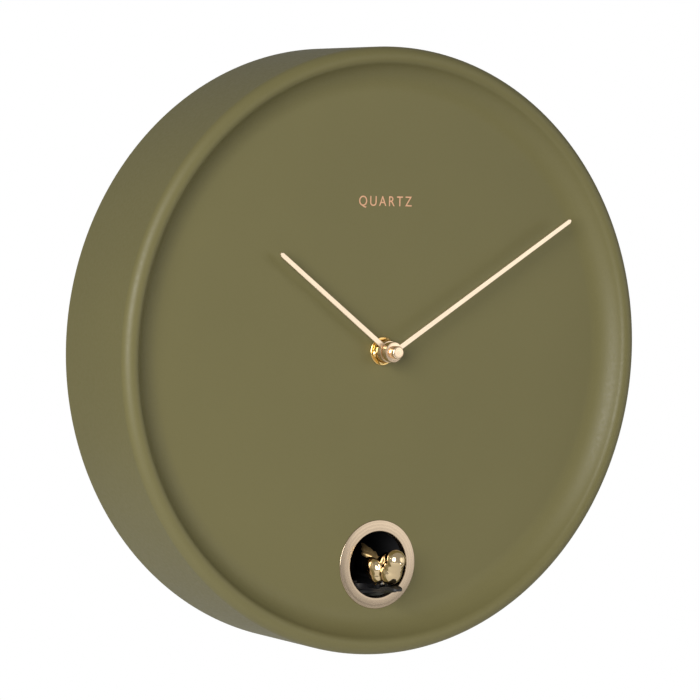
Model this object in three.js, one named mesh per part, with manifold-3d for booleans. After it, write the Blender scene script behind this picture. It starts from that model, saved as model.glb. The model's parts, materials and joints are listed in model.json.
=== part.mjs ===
// Wall clock with a calling bird: a deep pressed-steel case, a quartz movement and a sliding bird unit.
// Millimetres. The wall is the plane y = 0, the clock faces -Y, +Z is up, and the hands turn about
// the Y axis through the origin. "Depth" below is the distance from the wall, so y = -depth.
import * as THREE from 'three';
import { mergeVertices } from 'three/addons/utils/BufferGeometryUtils.js';
import Module from 'manifold-3d';

const wasm = await Module();
wasm.setup();

// Case
const CASE_RADIUS = 150;
const CASE_DEPTH = 60;
const DIAL_RECESS = 10;
const SHEET = 1.2;
const OUTER_ROUNDING = 5;
const INNER_ROUNDING = 4;
const DISH_ANGLE = 60;
const CASE_SEGMENTS = 72;
const DIAL_FRONT = CASE_DEPTH - DIAL_RECESS;
const DIAL_BACK = DIAL_FRONT - SHEET;

// Clearances: FIT between still pieces that touch, RUN round a turning arbor
const FIT = 0.1;
const RUN = 0.3;

// Bird window and its ring
const WINDOW_Z = -106;
const RING_INNER = 16.6;
const RING_OUTER = 22.1;
const RING_HEIGHT = 1;
const COLLAR_OUTER = 18.5;
const COLLAR_BACK = 47;
const WINDOW_HOLE = COLLAR_OUTER + RUN;

// Hands: length, clock angle and the depth of the blade's front face
const HOUR_LENGTH = 80;
const HOUR_ANGLE = -53;
const HOUR_FRONT = DIAL_FRONT + 6.7;
const MINUTE_LENGTH = 125;
const MINUTE_ANGLE = 58;
const MINUTE_FRONT = DIAL_FRONT + 10.8;
const HAND_THICKNESS = 1;
const HAND_WIDTH = 2.7;
const HAND_TIP_WIDTH = 2.4;
const HAND_POINT = 1.2;
const HOUR_COLLAR = 5.4;
const MINUTE_COLLAR = 5;
const CAP_RADIUS = 3.2;
const CAP_FRONT = DIAL_FRONT + 15;

// Movement case and its wheels; each level is a pair of depths, back and front
const MOVEMENT_HALF = 28;
const MOVEMENT_BOTTOM = -27;
const MOVEMENT_TOP = 37;
const MOVEMENT_FRONT = DIAL_BACK - 1.3;
const MOVEMENT_SPLIT = 40;
const MOVEMENT_BACK = 31;
const MOVEMENT_WALL = 1.2;
const ARBOR_RADIUS = 1.8;
const THREAD_RADIUS = 1.2;
const PIPE_INNER = ARBOR_RADIUS + RUN;
const PIPE_OUTER = 3.3;
const BUSHING_INNER = PIPE_OUTER + RUN;
const BUSHING_OUTER = 4.9;
const BUSHING_FRONT = DIAL_FRONT + 3;
const MOTION_MODULE = 0.7;
const CANNON_TEETH = 10;
const SET_WHEEL_TEETH = 30;
const SET_PINION_TEETH = 8;
const HOUR_WHEEL_TEETH = 32;
const CENTER_WHEEL_TEETH = 30;
const TRAIN_PINION_TEETH = 8;
const THIRD_WHEEL_TEETH = 24;
const CANNON_LEVEL = [36.2, 38];
const HOUR_WHEEL_LEVEL = [41, 42.6];
const SET_WHEEL_LEVEL = [36.4, 37.8];
const SET_PINION_LEVEL = [37.6, 43.4];
const CENTER_WHEEL_LEVEL = [33.4, 34.6];
const THIRD_WHEEL_LEVEL = [36, 37.2];
const THIRD_PINION_LEVEL = [33, 36.1];
const ROTOR_PINION_LEVEL = [35.6, 37.8];
const ROTOR_MAGNET_LEVEL = [37.7, 42.4];
const STATOR_LEVEL = [38.8, 40.2];
const STAFF_LEVEL = [32.6, 45.6];
const STAFF_RADIUS = 0.8;
const SET_STAFF = 1.2;
const SET_Z = -MOTION_MODULE * (CANNON_TEETH + SET_WHEEL_TEETH) / 2;
const THIRD_DIRECTION = 150;
const THIRD_DISTANCE = MOTION_MODULE * (CENTER_WHEEL_TEETH + TRAIN_PINION_TEETH) / 2;
const ROTOR_DIRECTION = 70;
const ROTOR_DISTANCE = MOTION_MODULE * (THIRD_WHEEL_TEETH + TRAIN_PINION_TEETH) / 2;

// Gear teeth, in modules and in shares of the tooth pitch
const TIP_HEIGHT = 0.8;
const ROOT_DEPTH = 1.1;
const TIP_SHARE = 0.11;
const ROOT_SHARE = 0.29;

// Bird unit: the carriage slides on a rack, and a motor turns the rack pinion
const TUNNEL_HALF = 17.5;
const TUNNEL_WALL = 1.5;
const TUNNEL_TOP = -88.5;
const TUNNEL_FLOOR = -119.1;
const TUNNEL_BACK = 3.6;
const FLANGE_HALF = 23;
const FLANGE_BOTTOM = -127;
const FLANGE_TOP = -83;
const MOTOR_PLATE_BOTTOM = -143.5;
const SHAFT_BORE = 1.3;
const PERCH_BOTTOM = -118.8;
const PERCH_TOP = -117.2;
const CARRIAGE_TOP = -115.6;
const PERCH_TIP_DEPTH = 70.5;
const CARRIAGE_BACK = 29;
const CARRIAGE_HALF = 10;
const PERCH_HALF = 6;
const PERCH_TIP_RADIUS = 3;
const TOE_START = 61.5;
const TOE_BOTTOM = -117.2;
const TOE_RIDGE_DEPTH = 65.5;
const TOE_RIDGE = -115.2;
const TOE_TIP = -116.1;
const EAR_INNER = 1.8;
const EAR_OUTER = 3.2;
const RACK_MODULE = 0.5;
const RACK_TEETH = 20;
const RACK_DEPTH = 32;
const RACK_PITCH_Z = PERCH_BOTTOM + TIP_HEIGHT * RACK_MODULE;
const PINION_TEETH = 20;
const PINION_Z = RACK_PITCH_Z - RACK_MODULE * PINION_TEETH / 2;
const DRIVE_MODULE = 0.8;
const REDUCTION_TEETH = 28;
const MOTOR_TEETH = 8;
const MOTOR_DIRECTION = -50;
const MOTOR_DISTANCE = DRIVE_MODULE * (REDUCTION_TEETH + MOTOR_TEETH) / 2;
const MOTOR_RADIUS = 7.7;
const GEAR_COVER_X = 23.2;
const PIVOT_DEPTH = 54;
const PIVOT_Z = -115.3;
const PIVOT_PIN = 0.7;

// Back: cover, hanger, battery bay, speaker, control board
const COVER_RADIUS = CASE_RADIUS - SHEET - 0.4;
const COVER_THICKNESS = 2.2;
const POST_OFFSET = 88;
const POST_RADIUS = 4;
const SCREW_HEAD = 3;
const SCREW_SHANK = 1.4;
const KEYHOLE_Z = 108;
const KEYHOLE_RADIUS = 5;
const KEYHOLE_SLOT = 2.6;
const KEYHOLE_TOP = 118;
const HANGER_HALF = 24;
const HANGER_BOTTOM = 99;
const HANGER_TOP = 125;
const HANGER_SHEET = 1.6;
const BAY_LEFT = 46;
const BAY_RIGHT = 92;
const BAY_HALF_HEIGHT = 29;
const BAY_DEPTH = 18.5;
const BAY_WALL = 1.5;
const CORNER = 1.5;
const CELL_RADIUS = 7.1;
const CELL_LENGTH = 50.5;
const CELL_COUNT = 3;
const CELL_DEPTH = 10.5;
const DOOR_PIVOT_Z = 27.8;
const DOOR_PIVOT_DEPTH = 1.1;
const SPEAKER_X = -75;
const SPEAKER_RADIUS = 25.5;
const GRILLE_RADIUS = 21;
const GRILLE_PITCH = 6;
const GRILLE_SLOT = 1.2;
const KNOB_RADIUS = 8;
const KNOB_WELL = 11;
const BOARD = { left: -92, right: -44, bottom: -80, top: -44, depth: 8 };
const SWITCH_X = -64;
const SWITCH_Z = -62;
const SWITCH_TRAVEL = 4;

const clock = new THREE.Group();

function finish(color, roughness, metalness) {
  return new THREE.MeshStandardMaterial({ color, roughness, metalness });
}

const olivePaint = () => finish(0x746f51, 0.62, 0.1);
const roseGold = () => finish(0xe8c8a4, 0.28, 1);
const yellowBrass = () => finish(0xc9a24e, 0.3, 1);
const goldPlate = () => finish(0xd8ae62, 0.12, 1);
const steel = () => finish(0xb4b6b8, 0.35, 1);
const blackPlastic = () => finish(0x17181a, 0.55, 0);
const greyPlastic = () => finish(0x8a8c8e, 0.5, 0);
const whitePlastic = () => finish(0xe6e4dc, 0.45, 0);
const blackRubber = () => finish(0x202020, 0.85, 0);
const greenBoard = () => finish(0x1f5a38, 0.5, 0);
const copperWire = () => finish(0xb5713d, 0.35, 1);
const cellWrap = () => finish(0x2c4f7c, 0.35, 0.2);
const paperCone = () => finish(0x2a2926, 0.9, 0);

function radians(degrees) {
  return degrees * Math.PI / 180;
}

// ---- solids: joining and cutting -------------------------------------------------------------

function solidOf(geometry) {
  const bare = geometry.clone();
  bare.deleteAttribute('normal');
  bare.deleteAttribute('uv');
  const merged = mergeVertices(bare, 1e-4);
  const index = merged.index.array;
  const triangles = [];
  for (let i = 0; i < index.length; i += 3) {
    const [a, b, c] = [index[i], index[i + 1], index[i + 2]];
    if (a !== b && b !== c && c !== a) {
      triangles.push(a, b, c);
    }
  }
  const vertProperties = new Float32Array(merged.attributes.position.array);
  const triVerts = new Uint32Array(triangles);
  return new wasm.Manifold(new wasm.Mesh({ numProp: 3, vertProperties, triVerts }));
}

function geometryOf(solid) {
  const mesh = solid.getMesh();
  const geometry = new THREE.BufferGeometry();
  geometry.setAttribute('position', new THREE.BufferAttribute(mesh.vertProperties, 3));
  geometry.setIndex(new THREE.BufferAttribute(mesh.triVerts, 1));
  geometry.computeVertexNormals();
  return geometry;
}

function cut(geometry, ...tools) {
  let solid = solidOf(geometry);
  for (const tool of tools) {
    solid = solid.subtract(solidOf(tool));
  }
  return geometryOf(solid);
}

function join(geometry, ...others) {
  let solid = solidOf(geometry);
  for (const other of others) {
    solid = solid.add(solidOf(other));
  }
  return geometryOf(solid);
}

// ---- shapes and simple solids ----------------------------------------------------------------

function polygon(points) {
  return new THREE.Shape(points.map(([x, z]) => new THREE.Vector2(x, z)));
}

function disc(radius, x = 0, z = 0) {
  const shape = new THREE.Shape();
  shape.absarc(x, z, radius, 0, 2 * Math.PI);
  return shape;
}

function rectangle(left, right, bottom, top) {
  return polygon([[left, bottom], [right, bottom], [right, top], [left, top]]);
}

function roundedRectangle(left, right, bottom, top, corner) {
  const shape = new THREE.Shape();
  shape.absarc(right - corner, bottom + corner, corner, -Math.PI / 2, 0);
  shape.absarc(right - corner, top - corner, corner, 0, Math.PI / 2);
  shape.absarc(left + corner, top - corner, corner, Math.PI / 2, Math.PI);
  shape.absarc(left + corner, bottom + corner, corner, Math.PI, 1.5 * Math.PI);
  return shape;
}

function slot(x, bottom, top, halfWidth) {
  const shape = new THREE.Shape();
  shape.absarc(x, top, halfWidth, 0, Math.PI);
  shape.absarc(x, bottom, halfWidth, Math.PI, 2 * Math.PI);
  return shape;
}

function gearShape(teeth, module, firstTooth, bore = 0) {
  const pitchRadius = teeth * module / 2;
  const root = pitchRadius - ROOT_DEPTH * module;
  const tip = pitchRadius + TIP_HEIGHT * module;
  const step = 2 * Math.PI / teeth;
  const points = [];
  for (let tooth = 0; tooth < teeth; tooth++) {
    const middle = radians(firstTooth) + tooth * step;
    const corners = [[root, -ROOT_SHARE], [tip, -TIP_SHARE], [tip, TIP_SHARE], [root, ROOT_SHARE]];
    for (const [radius, share] of corners) {
      const angle = middle + share * step;
      points.push([radius * Math.cos(angle), radius * Math.sin(angle)]);
    }
  }
  const shape = polygon(points);
  if (bore > 0) {
    shape.holes.push(disc(bore));
  }
  return shape;
}

// A flat piece whose outline is drawn in x and z, between two depths; an arc gets that many segments
function layer(shape, back, front, segments = 16) {
  const geometry = new THREE.ExtrudeGeometry(shape, {
    depth: front - back, bevelEnabled: false, curveSegments: segments / 2,
  });
  return geometry.rotateX(Math.PI / 2).translate(0, -back, 0);
}

// A flat piece whose outline is drawn in y and z, between two values of x
function sideways(shape, left, right, segments = 12) {
  const geometry = new THREE.ExtrudeGeometry(shape, {
    depth: right - left, bevelEnabled: false, curveSegments: segments / 2,
  });
  const axes = new THREE.Matrix4().makeBasis(
    new THREE.Vector3(0, 1, 0), new THREE.Vector3(0, 0, 1), new THREE.Vector3(1, 0, 0));
  return geometry.applyMatrix4(axes).translate(left, 0, 0);
}

// A round piece about the Y axis, from points of [radius, depth] in order round its section
function turned(profile, segments = 24) {
  const points = profile.map(([radius, depth]) => new THREE.Vector2(radius, -depth));
  const onAxis = profile[0][0] === 0 && profile[profile.length - 1][0] === 0;
  if (!onAxis) {
    points.push(points[0].clone());
  }
  const geometry = new THREE.LatheGeometry(points, segments);
  return outward(geometry);
}

// Turns a closed geometry's faces outward where its volume comes out negative
function outward(geometry) {
  const position = geometry.attributes.position;
  const index = geometry.index.array;
  const [a, b, c] = [new THREE.Vector3(), new THREE.Vector3(), new THREE.Vector3()];
  let volume = 0;
  for (let i = 0; i < index.length; i += 3) {
    a.fromBufferAttribute(position, index[i]);
    b.fromBufferAttribute(position, index[i + 1]);
    c.fromBufferAttribute(position, index[i + 2]);
    volume += a.dot(b.cross(c));
  }
  if (volume < 0) {
    for (let i = 0; i < index.length; i += 3) {
      [index[i], index[i + 1]] = [index[i + 1], index[i]];
    }
  }
  return geometry;
}

function rod(radius, back, front, segments = 16) {
  return turned([[0, back], [radius, back], [radius, front], [0, front]], segments);
}

function tube(inner, outer, back, front, segments = 24) {
  return turned([[inner, back], [outer, back], [outer, front], [inner, front]], segments);
}

// Two values in rising order, for a block that is mirrored from side to side
function span(one, other) {
  return [Math.min(one, other), Math.max(one, other)];
}

function block(left, right, back, front, bottom, top) {
  const geometry = new THREE.BoxGeometry(right - left, front - back, top - bottom);
  return geometry.translate((left + right) / 2, -(back + front) / 2, (bottom + top) / 2);
}

// A round bar along X at a depth and a height
function crossRod(radius, left, right, depth, z, segments = 12) {
  const geometry = new THREE.CylinderGeometry(radius, radius, right - left, segments);
  return geometry.rotateZ(Math.PI / 2).translate((left + right) / 2, -depth, z);
}

// A pair of wires in one sleeve, along points of [x, depth, z]
function lead(points) {
  const path = new THREE.CatmullRomCurve3(points.map(([x, depth, z]) => new THREE.Vector3(x, -depth, z)));
  return new THREE.ExtrudeGeometry(disc(LEAD_RADIUS), {
    steps: 2 * points.length, bevelEnabled: false, curveSegments: 4, extrudePath: path,
  });
}

function add(name, geometry, material) {
  const mesh = new THREE.Mesh(geometry, material);
  mesh.name = name;
  clock.add(mesh);
}

function polar(distance, degrees) {
  return [distance * Math.cos(radians(degrees)), distance * Math.sin(radians(degrees))];
}

const [thirdX, thirdZ] = polar(THIRD_DISTANCE, THIRD_DIRECTION);
const [rotorStepX, rotorStepZ] = polar(ROTOR_DISTANCE, ROTOR_DIRECTION);
const rotorX = thirdX + rotorStepX;
const rotorZ = thirdZ + rotorStepZ;
const [motorStepY, motorStepZ] = polar(MOTOR_DISTANCE, MOTOR_DIRECTION);
const motorDepth = RACK_DEPTH - motorStepY;
const motorZ = PINION_Z + motorStepZ;

const LEAD_RADIUS = 0.9;
const SPEAKER_LEAD_ROUTE = [
  [-62, 11, -50], [-60, 16, -44], [-59, 20, -34], [-61, 20, -22], [-66, 19.2, -15], [-70, 18.2, -10],
];
const BATTERY_LEAD_ROUTE = [
  [-50, 11, -56], [-40, 16, -56], [-20, 20, -54], [10, 22, -52], [40, 22, -48], [56, 22, -42], [60, 20, -36],
  [60, 15, -32],
];
const MOTOR_LEAD_ROUTE = [
  [-47, 11, -70], [-42, 16, -78], [-36, 20, -95], [-32, 22, -115], [-24, 22.7, -130], [-12, 22.7, motorZ],
  [-4, 22.7, motorZ],
];

// ---- case ------------------------------------------------------------------------------------

function arc(radius, depth, size, fromDegrees, toDegrees, steps) {
  const points = [];
  for (let step = 0; step <= steps; step++) {
    const angle = radians(fromDegrees + (toDegrees - fromDegrees) * step / steps);
    points.push([radius + size * Math.cos(angle), depth + size * Math.sin(angle)]);
  }
  return points;
}

// One face of the pressed sheet, from the back edge over the rim and down to the hub hole. Inside the
// crest it runs in one hollow curve from its steepest slope, DISH_ANGLE, to the flat dial.
function sheetFace(inset) {
  const slope = radians(DISH_ANGLE);
  const steepest = 90 + DISH_ANGLE;
  const crestRadius = CASE_RADIUS - OUTER_ROUNDING;
  const dishTop = crestRadius - INNER_ROUNDING * Math.sin(slope);
  const dishDrop = DIAL_RECESS - INNER_ROUNDING * (1 - Math.cos(slope));
  const dishRadius = dishDrop / (1 - Math.cos(slope));
  const dialEdge = dishTop - dishRadius * Math.sin(slope);
  return [
    [CASE_RADIUS - inset, 0],
    ...arc(crestRadius, CASE_DEPTH - OUTER_ROUNDING, OUTER_ROUNDING - inset, 0, 90, 3),
    ...arc(crestRadius, CASE_DEPTH - INNER_ROUNDING, INNER_ROUNDING - inset, 90, steepest, 2).slice(1),
    ...arc(dialEdge, DIAL_FRONT + dishRadius, dishRadius + inset, steepest - 180, -90, 5),
    [BUSHING_OUTER + RUN, DIAL_FRONT - inset],
  ];
}

function caseShell() {
  const shell = turned([...sheetFace(0), ...sheetFace(SHEET).reverse()], CASE_SEGMENTS);
  const window = rod(WINDOW_HOLE, DIAL_BACK - 2, DIAL_FRONT + 2, 48).translate(0, 0, WINDOW_Z);
  return cut(shell, window);
}

function windowRing() {
  const chamfer = 0.35;
  const foot = DIAL_FRONT + FIT / 2;
  const face = DIAL_FRONT + RING_HEIGHT;
  const ring = turned([
    [RING_INNER, COLLAR_BACK], [COLLAR_OUTER, COLLAR_BACK], [COLLAR_OUTER, foot], [RING_OUTER, foot],
    [RING_OUTER, face - chamfer], [RING_OUTER - chamfer, face], [RING_INNER + chamfer, face],
    [RING_INNER, face - chamfer],
  ], 36);
  return ring.translate(0, 0, WINDOW_Z);
}

function casePost() {
  return turned([
    [0, DIAL_BACK - FIT], [POST_RADIUS, DIAL_BACK - FIT], [POST_RADIUS, COVER_THICKNESS + FIT],
    [SCREW_SHANK + RUN, COVER_THICKNESS + FIT], [SCREW_SHANK + RUN, 16], [0, 16],
  ], 12);
}

function coverScrew() {
  const screw = turned([
    [0, 0.2], [SCREW_HEAD, 0.2], [SCREW_HEAD, 1], [SCREW_SHANK, 1], [SCREW_SHANK, 13], [0, 14.4],
  ], 12);
  const recess = 0.8;
  return cut(screw, block(-1.8, 1.8, 0, recess, -0.35, 0.35), block(-0.35, 0.35, 0, recess, -1.8, 1.8));
}

// A plate with the keyhole, on two legs whose toes are welded to the dial's back
function hangerBracket() {
  const plateBack = COVER_THICKNESS + RUN;
  const plateFront = plateBack + HANGER_SHEET;
  const foot = DIAL_BACK - FIT;
  const toeReach = 9;
  const plate = rectangle(-HANGER_HALF, HANGER_HALF, HANGER_BOTTOM, HANGER_TOP);
  const legs = [];
  for (const side of [-1, 1]) {
    const [legLeft, legRight] = span(side * HANGER_HALF, side * (HANGER_HALF - HANGER_SHEET));
    const [toeLeft, toeRight] = span(side * (HANGER_HALF - HANGER_SHEET), side * (HANGER_HALF + toeReach));
    legs.push(block(legLeft, legRight, plateBack, foot, HANGER_BOTTOM, HANGER_TOP));
    legs.push(block(toeLeft, toeRight, foot - HANGER_SHEET, foot, HANGER_BOTTOM, HANGER_TOP));
  }
  const bracket = join(layer(plate, plateBack, plateFront), ...legs);
  const head = layer(disc(KEYHOLE_RADIUS, 0, KEYHOLE_Z), 0, plateFront + 1, 24);
  const neck = layer(slot(0, KEYHOLE_Z, KEYHOLE_TOP, KEYHOLE_SLOT), 0, plateFront + 1, 8);
  return cut(bracket, head, neck);
}

// ---- hands and hub ---------------------------------------------------------------------------

function handBlade(length, clockAngle, front) {
  const half = HAND_WIDTH / 2;
  const tipHalf = HAND_TIP_WIDTH / 2;
  const outline = [
    [-half, 0], [half, 0], [tipHalf, length - HAND_POINT], [0.4, length], [-0.4, length],
    [-tipHalf, length - HAND_POINT],
  ];
  const blade = layer(polygon(outline), front - HAND_THICKNESS, front);
  return blade.rotateY(radians(clockAngle));
}

function hand(length, clockAngle, front, collar, collarBack, bore) {
  const body = join(
    tube(bore - 1, collar, collarBack, front + RUN / 2, 28),
    handBlade(length, clockAngle, front));
  return cut(body, rod(bore, collarBack - 1, front + 1, 20));
}

function hourHand() {
  return hand(HOUR_LENGTH, HOUR_ANGLE, HOUR_FRONT, HOUR_COLLAR, BUSHING_FRONT + 0.4, PIPE_OUTER + FIT);
}

function minuteHand() {
  return hand(MINUTE_LENGTH, MINUTE_ANGLE, MINUTE_FRONT, MINUTE_COLLAR, HOUR_FRONT + 0.6, ARBOR_RADIUS + FIT);
}

function handCap() {
  const chamfer = 0.7;
  const foot = MINUTE_FRONT + RUN;
  const boreRadius = THREAD_RADIUS + 0.2;
  const boreEnd = CAP_FRONT - 1.6;
  return turned([
    [0, boreEnd], [boreRadius, boreEnd], [boreRadius, foot], [CAP_RADIUS, foot],
    [CAP_RADIUS, CAP_FRONT - chamfer], [CAP_RADIUS - chamfer, CAP_FRONT], [0, CAP_FRONT],
  ], 24);
}

function minuteArbor() {
  const pinion = layer(gearShape(CANNON_TEETH, MOTION_MODULE, -90), ...CANNON_LEVEL);
  const shaft = turned([
    [0, 32.6], [1, 32.6], [1, 33.1], [ARBOR_RADIUS, 33.1], [ARBOR_RADIUS, MINUTE_FRONT],
    [THREAD_RADIUS, MINUTE_FRONT], [THREAD_RADIUS, CAP_FRONT - 2], [0, CAP_FRONT - 2],
  ], 16);
  return join(shaft, pinion);
}

function hourWheel() {
  const wheel = layer(gearShape(HOUR_WHEEL_TEETH, MOTION_MODULE, -90, PIPE_INNER), ...HOUR_WHEEL_LEVEL);
  return join(wheel, tube(PIPE_INNER, PIPE_OUTER, HOUR_WHEEL_LEVEL[0], HOUR_FRONT - RUN, 20));
}

function hubBushing() {
  const flange = MOVEMENT_FRONT - MOVEMENT_WALL - FIT;
  return turned([
    [BUSHING_INNER, flange - 1.2], [7, flange - 1.2], [7, flange], [BUSHING_OUTER, flange],
    [BUSHING_OUTER, BUSHING_FRONT], [BUSHING_INNER, BUSHING_FRONT],
  ], 20);
}

function hubNut() {
  const acrossFlats = 12;
  const corner = acrossFlats / 2 / Math.cos(Math.PI / 6);
  const hexagon = polygon([0, 1, 2, 3, 4, 5].map((side) => polar(corner, 60 * side + 12)));
  hexagon.holes.push(disc(BUSHING_OUTER + FIT));
  return layer(hexagon, DIAL_FRONT + 0.9, BUSHING_FRONT - 0.2, 20);
}

// ---- movement --------------------------------------------------------------------------------

function movementHalf(wallBack, wallFront, rimBack, rimFront) {
  const outline = roundedRectangle(-MOVEMENT_HALF, MOVEMENT_HALF, MOVEMENT_BOTTOM, MOVEMENT_TOP, 4);
  const inner = roundedRectangle(
    MOVEMENT_WALL - MOVEMENT_HALF, MOVEMENT_HALF - MOVEMENT_WALL,
    MOVEMENT_BOTTOM + MOVEMENT_WALL, MOVEMENT_TOP - MOVEMENT_WALL, 3);
  const solid = layer(outline, Math.min(wallBack, rimBack), Math.max(wallFront, rimFront), 3);
  return cut(solid, layer(inner, rimBack, rimFront, 3));
}

function movementBase() {
  const wall = MOVEMENT_FRONT - MOVEMENT_WALL;
  const half = movementHalf(wall, MOVEMENT_FRONT, MOVEMENT_SPLIT + FIT, wall);
  return cut(half, rod(BUSHING_OUTER + FIT, wall - 1, MOVEMENT_FRONT + 1, 24));
}

function movementCover() {
  const wall = MOVEMENT_BACK + MOVEMENT_WALL;
  const half = movementHalf(MOVEMENT_BACK, wall, wall, MOVEMENT_SPLIT);
  return cut(half, rod(SET_STAFF + RUN, MOVEMENT_BACK - 1, wall + 1, 16).translate(0, 0, SET_Z));
}

function setWheel() {
  const wheelTooth = 90 + 180 / SET_WHEEL_TEETH;
  const pinionTooth = 90 + 180 / SET_PINION_TEETH;
  const wheel = layer(gearShape(SET_WHEEL_TEETH, MOTION_MODULE, wheelTooth), ...SET_WHEEL_LEVEL);
  const pinion = layer(gearShape(SET_PINION_TEETH, MOTION_MODULE, pinionTooth), ...SET_PINION_LEVEL);
  return join(rod(SET_STAFF, 24, 45.8, 12), wheel, pinion).translate(0, 0, SET_Z);
}

function setStem() {
  const stem = turned([[0, 4], [2.2, 4], [2.2, 30.4], [1.3, 30.4], [1.3, 23.5], [0, 23.5]], 16);
  return stem.translate(0, 0, SET_Z);
}

function setKnob() {
  const ribs = 14;
  const grip = layer(gearShape(ribs, 2 * (KNOB_RADIUS - 0.6) / ribs, 0), 2.2, 7);
  const knob = join(grip, rod(KNOB_RADIUS - 1.2, 0.8, 7, 16));
  return cut(knob, rod(2.3, 3.9, 8, 16)).translate(0, 0, SET_Z);
}

function centerWheel() {
  const bore = ARBOR_RADIUS + FIT;
  return layer(gearShape(CENTER_WHEEL_TEETH, MOTION_MODULE, THIRD_DIRECTION, bore), ...CENTER_WHEEL_LEVEL);
}

function thirdWheel() {
  const firstTooth = THIRD_DIRECTION + 180 + 180 / TRAIN_PINION_TEETH;
  const wheel = layer(gearShape(THIRD_WHEEL_TEETH, MOTION_MODULE, ROTOR_DIRECTION), ...THIRD_WHEEL_LEVEL);
  const pinion = layer(gearShape(TRAIN_PINION_TEETH, MOTION_MODULE, firstTooth), ...THIRD_PINION_LEVEL);
  return join(wheel, pinion, rod(STAFF_RADIUS, ...STAFF_LEVEL, 8)).translate(thirdX, 0, thirdZ);
}

function rotor() {
  const magnetRadius = 3.4;
  const firstTooth = ROTOR_DIRECTION + 180 + 180 / TRAIN_PINION_TEETH;
  const pinion = layer(gearShape(TRAIN_PINION_TEETH, MOTION_MODULE, firstTooth), ...ROTOR_PINION_LEVEL);
  const magnet = rod(magnetRadius, ...ROTOR_MAGNET_LEVEL, 20);
  return join(pinion, magnet, rod(STAFF_RADIUS, ...STAFF_LEVEL, 8)).translate(rotorX, 0, rotorZ);
}

function stator() {
  const shape = polygon([
    [-16, 12.9], [20, 12.9], [20, 33], [16, 33], [16, 21.6], [-12, 21.6], [-12, 33], [-16, 33],
  ]);
  shape.holes.push(disc(4, rotorX, rotorZ));
  return layer(shape, ...STATOR_LEVEL, 20);
}

function coil() {
  const depth = 41.6;
  const height = 30;
  const core = block(-15.5, 19.5, 40.4, 42.6, height - 1.4, height + 1.4);
  return join(
    core,
    crossRod(4, -9.5, 13.5, depth, height, 20),
    crossRod(4.6, -10.6, -9.4, depth, height, 20),
    crossRod(4.6, 13.4, 14.6, depth, height, 20));
}

// ---- bird unit -------------------------------------------------------------------------------

// The bird's tunnel behind the window, with guides for the carriage and brackets for the motor and gears
function driveHousing() {
  const outer = TUNNEL_HALF + TUNNEL_WALL;
  const roof = TUNNEL_TOP + TUNNEL_WALL;
  const underside = TUNNEL_FLOOR - TUNNEL_WALL;
  const flangeFront = DIAL_BACK - 1.2;
  const flangeBack = flangeFront - 1.4;
  const front = flangeBack + 0.5;
  const guideFront = flangeBack - 0.7;
  const shape = rectangle(-FLANGE_HALF, FLANGE_HALF, FLANGE_BOTTOM - 2, FLANGE_TOP);
  const walls = [
    block(-outer, -TUNNEL_HALF, TUNNEL_BACK, front, underside, roof),
    block(TUNNEL_HALF, outer, TUNNEL_BACK, front, underside, roof),
    block(-outer, outer, TUNNEL_BACK, front, TUNNEL_TOP, roof),
    block(-outer, outer, TUNNEL_BACK, front, underside, TUNNEL_FLOOR),
    block(TUNNEL_HALF, outer, 12, 44, MOTOR_PLATE_BOTTOM, underside + 0.5),
    block(-7.5, -6, RACK_DEPTH - 4, RACK_DEPTH + 4, PINION_Z - 3, underside + 0.5),
  ];
  for (const side of [-1, 1]) {
    const far = side * (CARRIAGE_HALF + 1.7);
    const [ribLeft, ribRight] = span(side * (CARRIAGE_HALF + 0.5), far);
    const [lipLeft, lipRight] = span(side * (CARRIAGE_HALF - 1.2), far);
    walls.push(block(ribLeft, ribRight, TUNNEL_BACK, guideFront, TUNNEL_FLOOR - 0.5, CARRIAGE_TOP + 0.5));
    walls.push(block(lipLeft, lipRight, TUNNEL_BACK, guideFront, CARRIAGE_TOP + 0.4, CARRIAGE_TOP + 1.4));
  }
  for (const [depth, z] of [[41.5, -141], [14, -112], [14, -141]]) {
    walls.push(crossRod(1.8, outer - 0.5, GEAR_COVER_X - FIT, depth, z, 10));
  }
  return cut(
    join(layer(shape, flangeBack, flangeFront), ...walls),
    layer(disc(WINDOW_HOLE, 0, WINDOW_Z), flangeBack - 0.02, flangeFront + 1, 48),
    block(-2, 2, RACK_DEPTH - 7, RACK_DEPTH + 7, underside - 1, TUNNEL_FLOOR + 1),
    crossRod(SHAFT_BORE, -9, outer + 1, RACK_DEPTH, PINION_Z, 16),
    crossRod(3.4, TUNNEL_HALF - 1, outer + 1, motorDepth, motorZ, 16));
}

function tunnelGasket() {
  const shape = rectangle(-FLANGE_HALF, FLANGE_HALF, FLANGE_BOTTOM, FLANGE_TOP);
  shape.holes.push(disc(WINDOW_HOLE + RUN, 0, WINDOW_Z));
  return layer(shape, DIAL_BACK - 1.1, DIAL_BACK - FIT, 32);
}

function gearCover() {
  const shape = rectangle(-44, -12, MOTOR_PLATE_BOTTOM, -110);
  shape.holes.push(disc(SHAFT_BORE, -RACK_DEPTH, PINION_Z));
  shape.holes.push(disc(SHAFT_BORE, -motorDepth, motorZ));
  return sideways(shape, GEAR_COVER_X, GEAR_COVER_X + 1.3, 12);
}

function driveMotor() {
  const can = crossRod(MOTOR_RADIUS, -3, TUNNEL_HALF - FIT, motorDepth, motorZ, 24);
  const boss = crossRod(3, TUNNEL_HALF - 0.5, TUNNEL_HALF + 1.2, motorDepth, motorZ, 16);
  const bore = crossRod(SHAFT_BORE, 8, TUNNEL_HALF + 2, motorDepth, motorZ, 12);
  const flat = 6.1;
  return cut(
    join(can, boss), bore,
    block(-4, TUNNEL_HALF + 1, motorDepth - flat - 4, motorDepth - flat, motorZ - 9, motorZ + 9),
    block(-4, TUNNEL_HALF + 1, motorDepth + flat, motorDepth + flat + 4, motorZ - 9, motorZ + 9));
}

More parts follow.
